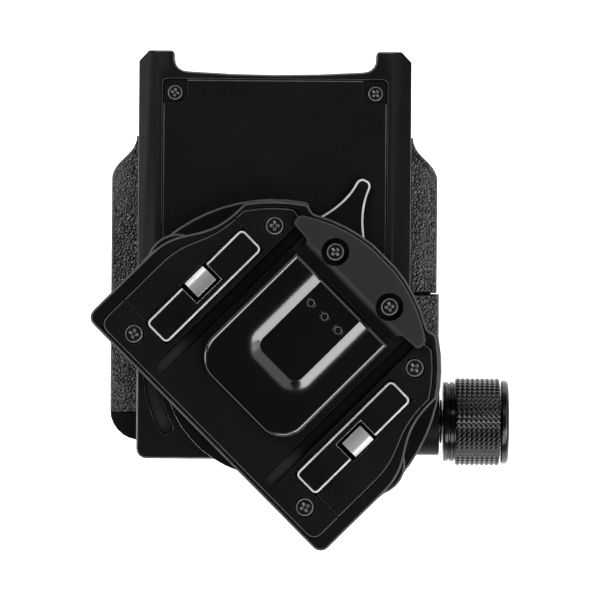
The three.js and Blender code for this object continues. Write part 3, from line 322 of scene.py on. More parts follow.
class Groups:
    """Shader node groups that several finishes share."""

    @staticmethod
    def _new(
        name: str, inputs: dict[str, float | None], outputs: tuple[str, ...]
    ) -> bpy.types.ShaderNodeTree:
        """An empty group with a vector input, number inputs and number outputs.

        Args:
            name: name of the group.
            inputs: name and first value of each number input; None for a vector.
            outputs: names of the number outputs.

        Returns:
            The group's node tree.
        """
        tree = bpy.data.node_groups.new(name, "ShaderNodeTree")
        for key, value in inputs.items():
            kind = "NodeSocketVector" if value is None else "NodeSocketFloat"
            socket = tree.interface.new_socket(key, in_out="INPUT", socket_type=kind)
            if value is not None:
                socket.default_value = value
        for key in outputs:
            tree.interface.new_socket(key, in_out="OUTPUT", socket_type="NodeSocketFloat")
        tree.nodes.new("NodeGroupInput")
        tree.nodes.new("NodeGroupOutput")
        return tree

    @staticmethod
    def _math(tree: bpy.types.ShaderNodeTree, operation: str, *sources: object) -> bpy.types.NodeSocket:
        """A math node fed by sockets or numbers.

        Args:
            tree: tree that gets the node.
            operation: the node's operation.
            sources: sockets or numbers for its inputs, in order.

        Returns:
            The node's output socket.
        """
        node = tree.nodes.new("ShaderNodeMath")
        node.operation = operation
        for socket, source in zip(node.inputs, sources):
            if isinstance(source, (int, float)):
                socket.default_value = source
            else:
                tree.links.new(source, socket)
        return node.outputs[0]

    @staticmethod
    def _ramp(
        tree: bpy.types.ShaderNodeTree, source: object, low: object, high: object
    ) -> bpy.types.NodeSocket:
        """Eases a number from 0 at low to 1 at high.

        Args:
            tree: tree that gets the node.
            source: socket that is eased.
            low: number or socket where the result is 0.
            high: number or socket where the result is 1.

        Returns:
            The eased output socket.
        """
        node = tree.nodes.new("ShaderNodeMapRange")
        node.interpolation_type = "SMOOTHSTEP"
        tree.links.new(source, node.inputs["Value"])
        for key, value in (("From Min", low), ("From Max", high)):
            if isinstance(value, (int, float)):
                node.inputs[key].default_value = value
            else:
                tree.links.new(value, node.inputs[key])
        return node.outputs["Result"]

    @classmethod
    def grain(cls) -> bpy.types.ShaderNodeTree:
        """Fine moulded grain: a height, and a slow unevenness of the sheen.

        Returns:
            The group's node tree.
        """
        inputs = {"Vector": None, "Scale": 4000.0, "Patch Scale": 60.0}
        tree = cls._new("fine_grain", inputs, ("Height", "Patch"))
        ends = {node.bl_idname: node for node in tree.nodes}
        entry, leave = ends["NodeGroupInput"], ends["NodeGroupOutput"]
        fine = tree.nodes.new("ShaderNodeTexNoise")
        fine.inputs["Detail"].default_value = 3.0
        fine.inputs["Roughness"].default_value = 0.6
        slow = tree.nodes.new("ShaderNodeTexNoise")
        slow.inputs["Detail"].default_value = 4.0
        for node, scale in ((fine, "Scale"), (slow, "Patch Scale")):
            tree.links.new(entry.outputs["Vector"], node.inputs["Vector"])
            tree.links.new(entry.outputs[scale], node.inputs["Scale"])
        tree.links.new(fine.outputs["Fac"], leave.inputs["Height"])
        tree.links.new(slow.outputs["Fac"], leave.inputs["Patch"])
        return tree

    @classmethod
    def pebble(cls) -> bpy.types.ShaderNodeTree:
        """Pebble grain: domes parted by creases, with a fine tooth on top.

        Returns:
            The group's node tree.
        """
        tree = cls._new("pebble_grain", {"Vector": None, "Scale": 1000.0}, ("Height", "Crease"))
        ends = {node.bl_idname: node for node in tree.nodes}
        entry, leave = ends["NodeGroupInput"], ends["NodeGroupOutput"]
        cells = tree.nodes.new("ShaderNodeTexVoronoi")
        cells.feature = "DISTANCE_TO_EDGE"
        tooth = tree.nodes.new("ShaderNodeTexNoise")
        tree.links.new(entry.outputs["Vector"], cells.inputs["Vector"])
        tree.links.new(entry.outputs["Scale"], cells.inputs["Scale"])
        tree.links.new(entry.outputs["Vector"], tooth.inputs["Vector"])
        tree.links.new(cls._math(tree, "MULTIPLY", entry.outputs["Scale"], 1.7), tooth.inputs["Scale"])
        dome = cls._ramp(tree, cells.outputs["Distance"], 0.0, 0.45)
        height = cls._math(tree, "MULTIPLY_ADD", tooth.outputs["Fac"], 1.2, dome)
        tree.links.new(height, leave.inputs["Height"])
        tree.links.new(cls._math(tree, "SUBTRACT", 1.0, dome), leave.inputs["Crease"])
        return tree

    @classmethod
    def specks(cls) -> bpy.types.ShaderNodeTree:
        """Sparse light specks, as of mineral in a coating or settled dust.

        Returns:
            The group's node tree.
        """
        tree = cls._new("specks", {"Vector": None, "Scale": 1500.0, "Share": 0.2}, ("Mask",))
        ends = {node.bl_idname: node for node in tree.nodes}
        entry, leave = ends["NodeGroupInput"], ends["NodeGroupOutput"]
        cells = tree.nodes.new("ShaderNodeTexVoronoi")
        tree.links.new(entry.outputs["Vector"], cells.inputs["Vector"])
        tree.links.new(entry.outputs["Scale"], cells.inputs["Scale"])
        near = cls._ramp(tree, cells.outputs["Distance"], 0.32, 0.12)
        apart = tree.nodes.new("ShaderNodeSeparateColor")
        tree.links.new(cells.outputs["Color"], apart.inputs["Color"])
        picked = cls._math(tree, "LESS_THAN", apart.outputs["Red"], entry.outputs["Share"])
        tree.links.new(cls._math(tree, "MULTIPLY", near, picked), leave.inputs["Mask"])
        return tree

    @classmethod
    def painted_edge_highlight(cls) -> bpy.types.ShaderNodeTree:
        """Mask of the painted highlight on chamfers: faces that neither lie flat nor stand upright, thinned in
        blotches by noise.

        Returns:
            The group's node tree.
        """
        inputs = {"Normal": None, "Vector": None, "Thinning": 0.3, "Level": 0.96}
        tree = cls._new("painted_edge_highlight", inputs, ("Mask",))
        ends = {node.bl_idname: node for node in tree.nodes}
        entry, leave = ends["NodeGroupInput"], ends["NodeGroupOutput"]
        apart = tree.nodes.new("ShaderNodeSeparateXYZ")
        tree.links.new(entry.outputs["Normal"], apart.inputs["Vector"])
        rise = apart.outputs["Z"]
        leaning = cls._ramp(tree, rise, 0.25, 0.5)
        steep = cls._math(tree, "SUBTRACT", entry.outputs["Level"], 0.08)
        level = cls._ramp(tree, rise, entry.outputs["Level"], steep)
        band = cls._math(tree, "MULTIPLY", leaning, level)
        noise = tree.nodes.new("ShaderNodeTexNoise")
        noise.inputs["Scale"].default_value = 260.0
        tree.links.new(entry.outputs["Vector"], noise.inputs["Vector"])
        # noise thins the painted highlight in blotches
        blotch = cls._ramp(tree, noise.outputs["Fac"], 0.3, 0.7)
        thinned = cls._math(tree, "MULTIPLY", blotch, entry.outputs["Thinning"])
        kept = cls._math(tree, "SUBTRACT", 1.0, thinned)
        tree.links.new(cls._math(tree, "MULTIPLY", band, kept), leave.inputs["Mask"])
        return tree

    @classmethod
    def shade_along(cls) -> bpy.types.ShaderNodeTree:
        """Mask of painted shade that grows from one level to another along a direction.

        Returns:
            The group's node tree.
        """
        tree = cls._new("shade_along", {"Vector": None, "Way": None, "From": 0.0, "To": 1.0}, ("Mask",))
        ends = {node.bl_idname: node for node in tree.nodes}
        entry, leave = ends["NodeGroupInput"], ends["NodeGroupOutput"]
        reach = tree.nodes.new("ShaderNodeVectorMath")
        reach.operation = "DOT_PRODUCT"
        tree.links.new(entry.outputs["Vector"], reach.inputs[0])
        tree.links.new(entry.outputs["Way"], reach.inputs[1])
        mask = cls._ramp(tree, reach.outputs["Value"], entry.outputs["From"], entry.outputs["To"])
        tree.links.new(mask, leave.inputs["Mask"])
        return tree


def tone(value: float) -> tuple[float, float, float]:
    """A neutral colour, a trace cooler than grey."""
    return value, value, 1.04 * value


@dataclass(frozen=True)
class Shade:
    """Where painted shade darkens a finish: a direction, and the distances along it where that starts and ends."""

    way: tuple[float, float, float]
    start: float
    end: float


@dataclass(frozen=True)
class Finish:
    """A surface finish; lengths are in metres and colours are linear."""

    name: str
    base: tuple[float, float, float]
    roughness: float
    metallic: float = 0.0
    coat: float = 0.0
    specular: float = 0.4
    pattern: Pattern = Pattern.GRAIN
    scale: float = 3500.0
    relief: float = 0.00002
    patch: float = 0.08
    speck: float = 0.0
    speck_scale: float = 1400.0
    speck_share: float = 0.2
    # edge: brightness of the painted highlight on chamfers
    edge: float = 0.0
    edge_roughness: float = 0.3
    edge_level: float = 0.96
    # shade: where painted shade darkens the finish, if anywhere
    shade: Shade | None = None

    def material(self) -> bpy.types.Material:
        """Builds the node material for this finish.

        Returns:
            The material.
        """
        material = bpy.data.materials.new(self.name)
        material.use_nodes = True
        tree = material.node_tree
        shader = tree.nodes["Principled BSDF"]
        shader.inputs["Metallic"].default_value = self.metallic
        shader.inputs["Coat Weight"].default_value = self.coat
        shader.inputs["Coat Roughness"].default_value = 0.12
        shader.inputs["Specular IOR Level"].default_value = self.specular
        place = tree.nodes.new("ShaderNodeTexCoord")
        grain = self._placed(tree, "fine_grain", place, Scale=self.scale)
        height = grain.outputs["Height"]
        colour = self._toned(tree, grain.outputs["Patch"])
        if self.pattern is Pattern.PEBBLE:
            pebble = self._placed(tree, "pebble_grain", place, Scale=self.scale)
            height = pebble.outputs["Height"]
            # painted shade: the creases between pebbles are darkened
            painted_crease_shade = tuple(0.45 * c for c in self.base)
            colour = self._mixed(tree, colour, pebble.outputs["Crease"], painted_crease_shade, 0.6)
        if self.speck > 0:
            specks = self._placed(tree, "specks", place, Scale=self.speck_scale, Share=self.speck_share)
            colour = self._mixed(tree, colour, specks.outputs["Mask"], (self.speck,) * 3, 1.0)
        roughness = tree.nodes.new("ShaderNodeMapRange")
        roughness.inputs["To Min"].default_value = self.roughness - self.patch
        roughness.inputs["To Max"].default_value = self.roughness + self.patch
        tree.links.new(grain.outputs["Patch"], roughness.inputs["Value"])
        rough = roughness.outputs["Result"]
        if self.edge > 0:
            edges = self._placed(tree, "painted_edge_highlight", place, Level=self.edge_level)
            tree.links.new(place.outputs["Normal"], edges.inputs["Normal"])
            # painted highlight: the chamfer mask lightens the colour to the edge brightness
            colour = self._mixed(tree, colour, edges.outputs["Mask"], (self.edge,) * 3, 1.0)
            rough = self._number_mix(tree, rough, edges.outputs["Mask"], self.edge_roughness)
        if self.shade is not None:
            painted_shade = self._placed(tree, "shade_along", place, From=self.shade.start, To=self.shade.end)
            painted_shade.inputs["Way"].default_value = self.shade.way
            # painted shade: the colour falls to 8% of the base where the mask grows
            colour = self._mixed(tree, colour, painted_shade.outputs["Mask"], tuple(0.08 * c for c in self.base), 1.0)
            rough = self._number_mix(tree, rough, painted_shade.outputs["Mask"], 0.95)
        tree.links.new(colour, shader.inputs["Base Color"])
        tree.links.new(rough, shader.inputs["Roughness"])
        if self.pattern is not Pattern.PLAIN:
            bump = tree.nodes.new("ShaderNodeBump")
            bump.inputs["Strength"].default_value = 1.0
            bump.inputs["Distance"].default_value = self.relief
            tree.links.new(height, bump.inputs["Height"])
            tree.links.new(bump.outputs["Normal"], shader.inputs["Normal"])
        return material

    @staticmethod
    def _placed(
        tree: bpy.types.ShaderNodeTree, group: str, place: bpy.types.Node, **values: float
    ) -> bpy.types.Node:
        """Puts a shared group into a material with its own values.

        Args:
            tree: the material's tree.
            group: name of the group.
            place: texture coordinate node that feeds it.
            values: values of its number inputs.

        Returns:
            The group node.
        """
        node = tree.nodes.new("ShaderNodeGroup")
        node.node_tree = bpy.data.node_groups[group]
        tree.links.new(place.outputs["Object"], node.inputs["Vector"])
        for key, value in values.items():
            node.inputs[key].default_value = value
        return node

    def _toned(self, tree: bpy.types.ShaderNodeTree, patch: bpy.types.NodeSocket) -> bpy.types.NodeSocket:
        """Base colour, a little lighter and darker in slow patches.

        Args:
            tree: the material's tree.
            patch: slow noise from 0 to 1.

        Returns:
            The colour socket.
        """
        mix = tree.nodes.new("ShaderNodeMix")
        mix.data_type = "RGBA"
        mix.inputs["A"].default_value = (*(0.8 * c for c in self.base), 1.0)
        mix.inputs["B"].default_value = (*(1.2 * c for c in self.base), 1.0)
        tree.links.new(patch, mix.inputs["Factor"])
        return mix.outputs["Result"]

    @staticmethod
    def _mixed(
        tree: bpy.types.ShaderNodeTree,
        colour: bpy.types.NodeSocket,
        mask: bpy.types.NodeSocket,
        other: tuple[float, ...],
        strength: float,
    ) -> bpy.types.NodeSocket:
        """A colour that turns into another where a mask is 1.

        Args:
            tree: the material's tree.
            colour: first colour.
            mask: where the second colour shows.
            other: the second colour.
            strength: the most of it that shows.

        Returns:
            The mixed colour socket.
        """
        share = tree.nodes.new("ShaderNodeMath")
        share.operation = "MULTIPLY"
        share.inputs[1].default_value = strength
        tree.links.new(mask, share.inputs[0])
        mix = tree.nodes.new("ShaderNodeMix")
        mix.data_type = "RGBA"
        mix.inputs["B"].default_value = (*other, 1.0)
        tree.links.new(share.outputs[0], mix.inputs["Factor"])
        tree.links.new(colour, mix.inputs["A"])
        return mix.outputs["Result"]

    @staticmethod
    def _number_mix(
        tree: bpy.types.ShaderNodeTree, number: bpy.types.NodeSocket, mask: bpy.types.NodeSocket, other: float
    ) -> bpy.types.NodeSocket:
        """A number that turns into another where a mask is 1.

        Args:
            tree: the material's tree.
            number: first number.
            mask: where the second number shows.
            other: the second number.

        Returns:
            The mixed number socket.
        """
        mix = tree.nodes.new("ShaderNodeMix")
        mix.inputs["B"].default_value = other
        tree.links.new(mask, mix.inputs["Factor"])
        tree.links.new(number, mix.inputs["A"])
        return mix.outputs["Result"]


@dataclass
class Finishes:
    """All finishes of the mount, built once and shared."""

    made: dict[str, bpy.types.Material] = field(default_factory=dict)

    def build(self) -> None:
        """Builds the shared groups, then every material."""
        Groups.grain()
        Groups.pebble()
        Groups.specks()
        Groups.painted_edge_highlight()
        Groups.shade_along()
        crescent_top = corners_of("crescent_stop")[1][2]
        # painted shade on the crescent stop below its top, darkest down its slope
        painted_shade = Shade((0, 0, 1), crescent_top - 0.3 * MM, crescent_top - 1.2 * MM)
        up_the_plate = (-math.sin(REST_TURN), math.cos(REST_TURN), 0)
        # painted shadow on the channel strips: dark up the plate from their lit lower end
        painted_channel_shadow = Shade(up_the_plate, -16 * MM, -8 * MM)
        # edge sets a painted highlight on chamfers; shade sets painted shade
        for finish in (
            Finish("frame_black", tone(0.0015), 0.4, specular=0.1, edge=0.3, edge_level=0.74, speck=0.012,
                   speck_scale=2600.0, speck_share=0.1),
            Finish("panel_black", tone(0.0015), 0.4, specular=0.09, edge=0.1, relief=0.00003,
                   speck=0.014, speck_scale=2600.0, speck_share=0.14),
            Finish("grip_pebble", tone(0.003), 0.17, specular=0.6, pattern=Pattern.PEBBLE, scale=1300.0,
                   relief=0.00015),
            Finish("smooth_black", tone(0.002), 0.4, specular=0.06, relief=0.00001),
            Finish("knob_black", tone(0.002), 0.2, specular=0.38, relief=0.000006, patch=0.04),
            Finish("plate_black", tone(0.0012), 0.36, specular=0.1, relief=0.000012, edge=0.06),
            Finish("cover_speckle", tone(0.001), 0.4, specular=0.1, relief=0.00003,
                   speck=0.014, speck_scale=2600.0,
                   speck_share=0.2, edge=0.06),
            Finish("rail_black", tone(0.001), 0.3, specular=0.2, relief=0.000008, edge=0.5,
                   edge_roughness=0.25),
            Finish("tongue_gloss", tone(0.001), 0.2, specular=0.5, coat=0.5, relief=0.000004, patch=0.02),
            Finish("stop_grey", tone(0.012), 0.55, specular=0.1, relief=0.000012, edge=0.03, shade=painted_shade),
            Finish("grey_strip", tone(0.007), 0.55, specular=0.1, relief=0.00002, speck=0.03, speck_share=0.1,
                   shade=painted_channel_shadow),
            Finish("black_screw", tone(0.003), 0.2, specular=0.45, metallic=0.1, relief=0.000005, edge=0.13),
            Finish("steel", tone(0.13), 0.5, metallic=0.3, relief=0.000006, edge=0.6),
            Finish("brass", (0.5, 0.36, 0.16), 0.35, metallic=0.9, relief=0.000006),
        ):
            self.made[finish.name] = finish.material()

    def dress(self, piece: bpy.types.Object, finish: str) -> None:
        """Gives a piece one finish in all of its material slots.

        Args:
            piece: object to dress.
            finish: name of the finish.
        """
        material = self.made[finish]
        if not piece.material_slots:
            piece.data.materials.append(material)
        for place in piece.material_slots:
            place.material = material

    def dress_frame(self) -> None:
        """Gives every carried-over CAD node the finish that its record slot names."""
        for part in frame["record"]["subparts"]:
            self.dress(frame["nodes"][part["node"]], part["material_slot"])


# ------------------------------------------------------------------ sub-assemblies
@dataclass
class ShellWork:
    """Rounded shells over the machined and moulded CAD nodes."""

    fine: float = 0.12 * MM
    line: float = 0.2 * MM
    soft: float = 0.35 * MM

    def build(self, finishes: Finishes) -> None:
        """Makes and dresses the rounded copies.

        Args:
            finishes: the finishes to dress them in.
        """
        widths = {
            "back_plate": self.soft, "left_cheek": self.soft, "right_cheek": self.soft,
            "clamp_block": self.soft, "clamp_boss": self.soft, "thrust_washer": self.fine,
            "head_frame": self.line, "panel_cover": self.line,
            "turntable_disc": self.fine, "carrier_plate": self.fine, "front_plate": self.fine,
            "face_cover": self.line, "left_side_cover": self.fine, "right_side_cover": self.fine,
            "left_guide_rail": self.fine, "right_guide_rail": self.fine,
            "left_pawl": self.fine, "right_pawl": self.fine,
            "crescent_stop": self.soft, "release_lever": self.fine, "altitude_pin": self.fine,
        }
        slots = {part["node"]: part["material_slot"] for part in frame["record"]["subparts"]}
        # the release lever takes rail_black for its strong painted edge highlight
        slots["release_lever"] = "rail_black"
        for node, width in widths.items():
            finishes.dress(refined(node, width), slots[node])
            LOG.info("rounded %s", node)


@dataclass
class LockKnob:
    """Knurled lock knob and its smooth end cap."""

    collar_radius: float = 10.3 * MM
    crest_radius: float = 11.3 * MM
    valley: float = 0.32 * MM
    bore: float = 3.3 * MM
    rows: int = 9
    steps: int = 8
    round_count: int = 52
    ring_depth: float = 0.45 * MM

    def build(self, finishes: Finishes) -> None:
        """Makes and dresses the knob and the cap.

        Args:
            finishes: the finishes to dress them in.
        """
        finishes.dress(self._grip(), "knob_black")
        finishes.dress(self._cap(), "knob_black")
        LOG.info("turned lock_knob")

    def _grip(self) -> bpy.types.Object:
        """Collar with two ring grooves and a band of square pyramids.

        The pyramid height is the lesser of two triangle waves, one along and one round.

        Returns:
            The knob.
        """
        low, high = corners_of("lock_knob")
        start, end = low[0], high[0]
        grip = start + 3.2 * MM
        collar = self.collar_radius
        rim = 0.35 * MM
        groove = collar - self.ring_depth
        lead = [
            (self.bore, start), (collar - 3 * rim, start), (collar - 0.3 * rim, start + 0.3 * rim),
            (collar, start + rim), (collar, grip - 2.0 * MM), (groove, grip - 1.75 * MM),
            (groove, grip - 1.55 * MM), (collar, grip - 1.3 * MM), (collar + 0.1 * MM, grip - 0.55 * MM),
            (groove, grip - 0.3 * MM), (groove, grip - 0.1 * MM),
        ]
        along = np.linspace(grip, end - 0.15 * MM, self.rows * self.steps + 1)
        columns = self.round_count * self.steps
        rings = [revolved(np.array(lead), columns)]
        wave_along = 1 - np.abs(((along - grip) / (along[-1] - grip) * self.rows) % 1 * 2 - 1)
        wave_round = 1 - np.abs((np.arange(columns) / self.steps) % 1 * 2 - 1)
        pyramid = np.minimum(wave_along[:, None], wave_round[None])
        radius = self.crest_radius - self.valley * (1 - pyramid)
        angle = np.linspace(0, 2 * math.pi, columns, endpoint=False)
        heights = np.broadcast_to(along[:, None], radius.shape)
        rings.append(np.stack([radius * np.cos(angle), radius * np.sin(angle), heights], axis=-1))
        rings.append(revolved(np.array([(groove - 0.4 * MM, end), (self.bore, end)]), columns))
        solid = np.concatenate(rings)
        piece = mesh_of_rings("knurled_knob", along_pin(solid), 25.0, closed_rows=True)
        stand_for(piece, "lock_knob")
        return piece

    def _cap(self) -> bpy.types.Object:
        """End cap: a rounded ring with a shallow dished face.

        Returns:
            The cap.
        """
        low, high = corners_of("knob_cap")
        start, end = low[0], high[0]
        outer = (high[1] - low[1]) / 2
        turn = np.radians(np.linspace(0, 90, 9))
        soft = 0.95 * MM
        shoulder = np.stack([outer - soft + soft * np.cos(turn), end - soft + soft * np.sin(turn)], axis=1)
        dish = np.array([
            (outer - 1.9 * MM, end), (outer - 2.3 * MM, end - 0.35 * MM), (0.4 * MM, end - 0.4 * MM),
        ])
        foot = np.array([(0.4 * MM, start), (outer - 0.4 * MM, start), (outer, start + 0.2 * MM)])
        piece = mesh_of_rings("smooth_knob_cap", along_pin(revolved(np.vstack([foot, shoulder, dish]), 144)))
        stand_for(piece, "knob_cap")
        return piece


@dataclass
class GripPads:
    """Pebble-grained pads on top of the two cheeks."""

    grain: float = 0.7 * MM
    relief: float = 0.17 * MM
    border: float = 1.1 * MM
    groove: float = 0.24 * MM
    groove_depth: float = 0.1 * MM
    edge: float = 0.55 * MM
    across: int = 62
    pitch: float = 0.11 * MM
    shoulder: float = 48.0 * MM
    flare_end: float = 59.3 * MM

    def build(self, finishes: Finishes) -> None:
        """Makes and dresses both pads.

        Args:
            finishes: the finishes to dress them in.
        """
        for node, side in (("left_grip_pad", -1), ("right_grip_pad", 1)):
            finishes.dress(self._pad(node, side), "grip_pebble")
            LOG.info("grained %s", node)

    def _outer(self, y: np.ndarray, inner: float, outer: float) -> np.ndarray:
        """Distance of the pad's outer edge from the middle plane along its length.

        The edge is straight, then follows the cheek's flare, a cubic curve whose handles
        are 5 mm and 5 mm long; it is read off at each height.

        Args:
            y: places along the pad.
            inner: where the flare ends.
            outer: where it starts.

        Returns:
            The distances.
        """
        t = np.linspace(0, 1, 60)
        handle = 5 * MM
        ends = (self.shoulder, self.shoulder + handle, self.flare_end - handle, self.flare_end)
        weights = ((1 - t) ** 3, 3 * t * (1 - t) ** 2, 3 * t * t * (1 - t), t**3)
        rise = sum(w * e for w, e in zip(weights, ends))
        reach = sum(w * e for w, e in zip(weights, (outer, outer, inner, inner)))
        return np.interp(y, rise, reach)

    def _pad(self, node: str, side: int) -> bpy.types.Object:
        """A pad as one section carried along Y, raised by the pebble grain.

        Args:
            node: CAD node that it stands for.
            side: -1 on the left, 1 on the right.

        Returns:
            The pad.
        """
        low, high = corners_of(node)
        near = min(abs(low[0]), abs(high[0]))
        far = max(abs(low[0]), abs(high[0]))
        y = np.arange(low[1], high[1], self.pitch)
        edge = self._outer(y, near + 0.3 * MM, far)[:, None]
        turn = np.radians(np.linspace(0, 90, 5))
        top = high[2] - 0.02 * MM
        out = 1 - np.cos(turn)
        drop = 1 - np.sin(turn)
        share = np.linspace(1, 0, self.across)
        width = edge - near
        soft = np.minimum(self.edge, width * 0.45)
        side_x = edge - soft * out
        flat_x = near + (width - soft) * share
        x = np.hstack([np.full_like(edge, near), edge, side_x, flat_x])
        z = np.hstack([
            np.full_like(edge, low[2]), np.full_like(edge, low[2]),
            top - drop * soft,
            np.full_like(flat_x, top),
        ])
        along = np.broadcast_to(y[:, None], x.shape)
        coarse = pebbles(x + 0.2 * self.grain, along, 1.7 * self.grain, 7 + side)
        fine = pebbles(x, along, self.grain, 17 + side)
        lift = 0.45 * coarse + 0.55 * fine - 1
        inward = edge - x
        grained = smooth_step((inward - self.border - self.groove) / (0.3 * MM)) if side > 0 else 1.0
        weight = np.ones(x.shape[1])
        weight[:2] = 0
        weight[-1] = 0
        z = z + lift * self.relief * weight * grained
        if side > 0:
            line = np.abs(inward - self.border) / self.groove
            z = z - self.groove_depth * smooth_step(1 - line) * weight
        rings = np.stack([side * x, along, z], axis=-1)
        rings = rings if side > 0 else rings[:, ::-1]
        piece = mesh_of_rings(f"{node}_grain", rings[:, ::-1], 60.0)
        stand_for(piece, node)
        return piece


@dataclass
class Tongue:
    """Glossy tongue with a rounded rim, a thumb recess and three dimples."""

    half: float = 16.6 * MM
    bottom: float = -12.8 * MM
    top: float = 25.0 * MM
    corner: float = 7.4 * MM
    top_corner: float = 0.5 * MM
    rim: float = 1.3 * MM
    recess_half: float = 11.3 * MM
    recess_bottom: float = -3.3 * MM
    recess_corner: float = 6.8 * MM
    recess_slope: float = 4.15 * MM
    recess_depth: float = 1.1 * MM
    dimple: float = 0.95 * MM
    dimple_depth: float = 0.5 * MM
    dimple_pitch: float = 4.9 * MM
    dimple_height: float = 18.4 * MM
    inner_rings: int = 90
    arc_points: int = 26
    side_points: int = 84

    def build(self, finishes: Finishes) -> None:
        """Makes and dresses the tongue and its dimples.

        Args:
            finishes: the finishes to dress them in.
        """
        finishes.dress(self._solid(), "tongue_gloss")
        for step in (-1, 0, 1):
            finishes.dress(self._dimple(step), "black_screw")
        LOG.info("shaped tongue")

    def _ring(self, inward: float) -> np.ndarray:
        """Outline moved in by a distance: four corner arcs joined by straight sides.

        Args:
            inward: distance from the true outline.

        Returns:
            Array of x and y, one row a point.
        """
        width = self.half - inward
        low, high = self.bottom + inward, self.top - inward
        radius = min(max(self.corner - inward, 0.02 * self.corner), width)
        small = min(max(self.top_corner - inward, 0.02 * self.corner), width)
        centres = (
            (-width + radius, low + radius, radius, 180), (width - radius, low + radius, radius, 270),
            (width - small, high - small, small, 0), (-width + small, high - small, small, 90),
        )
        arcs = []
        for x, y, r, start in centres:
            turn = np.radians(start + np.linspace(0, 90, self.arc_points))
            arcs.append(np.stack([x + r * np.cos(turn), y + r * np.sin(turn)], axis=1))
        share = np.linspace(0, 1, self.side_points + 1)[1:-1, None]
        runs = []
        for i, run in enumerate(arcs):
            ahead = arcs[(i + 1) % 4][0]
            runs += [run, run[-1] * (1 - share) + ahead * share]
        return np.vstack(runs)

    def _depth(self, x: np.ndarray, y: np.ndarray) -> np.ndarray:
        """How far the top lies below the rim inside the thumb recess.

        The slope steepens evenly from the rim to a crisp foot: depth grows with the square.

        Args:
            x: places across, drawn upright.
            y: places up.

        Returns:
            Depths in metres.
        """
        low = (-self.recess_half, self.recess_bottom)
        high = (self.recess_half, self.top + 2 * self.recess_half)
        ramp = np.clip(-box_distance(x, y, low, high, self.recess_corner) / self.recess_slope, 0, 1)
        return self.recess_depth * ramp**2

    def _solid(self) -> bpy.types.Object:
        """Rings up the side, over the rounded rim, and in to a middle line.

        Returns:
            The tongue.
        """
        low, high = corners_of("tongue")
        turn = np.radians(np.linspace(0, 90, 11))
        inner = np.linspace(self.rim, self.half - 0.1 * MM, self.inner_rings + 1)[1:]
        inward = np.concatenate([[0.2 * MM, 0], self.rim * (1 - np.cos(turn)), inner])
        rim_rise = high[2] - self.rim * (1 - np.sin(turn))
        rise = np.concatenate([[low[2], low[2] + 0.2 * MM], rim_rise, np.full(len(inner), high[2])])
        flat = np.stack([self._ring(d) for d in inward])
        level = np.broadcast_to(rise[:, None], flat.shape[:2]).copy()
        level[2:] -= self._depth(flat[2:, :, 0], flat[2:, :, 1])
        for step in (-1, 0, 1):
            reach = np.hypot(flat[2:, :, 0] - step * self.dimple_pitch, flat[2:, :, 1] - self.dimple_height)
            inward = smooth_step((1.3 * self.dimple - reach) / (0.5 * self.dimple))
            level[2:] -= 1.3 * self.dimple_depth * inward
        rings = np.concatenate([flat, level[..., None]], axis=-1)
        piece = mesh_of_rings("glossy_tongue", turned(rings, REST_TURN), 40.0)
        stand_for(piece, "tongue")
        return piece

    def _dimple(self, step: int) -> bpy.types.Object:
        """A round dimple with a crisp lip, let into the recess floor.

        Args:
            step: -1, 0 or 1, its place in the row.

        Returns:
            The dimple.
        """
        floor = corners_of("tongue")[1][2] - self.recess_depth
        r, deep = self.dimple, self.dimple_depth
        lip = 0.012 * MM
        share = np.linspace(1, 0.02, 12)
        bowl = np.stack([0.84 * r * share, np.full(12, floor - deep)], axis=1)
        profile = np.vstack([[
            (0.02 * r, floor - 1.25 * deep), (r, floor - 1.25 * deep), (1.32 * r, floor - 0.2 * deep),
            (1.36 * r, floor + lip), (r, floor + lip), (0.84 * r, floor - 0.22 * deep),
        ], bowl])
        rings = revolved(profile, 48) + np.array([step * self.dimple_pitch, self.dimple_height, 0])
        piece = mesh_of_rings(f"tongue_dimple_{step + 2}", turned(rings, REST_TURN), 30.0)
        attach(piece, body_of_node("tongue"))
        return piece


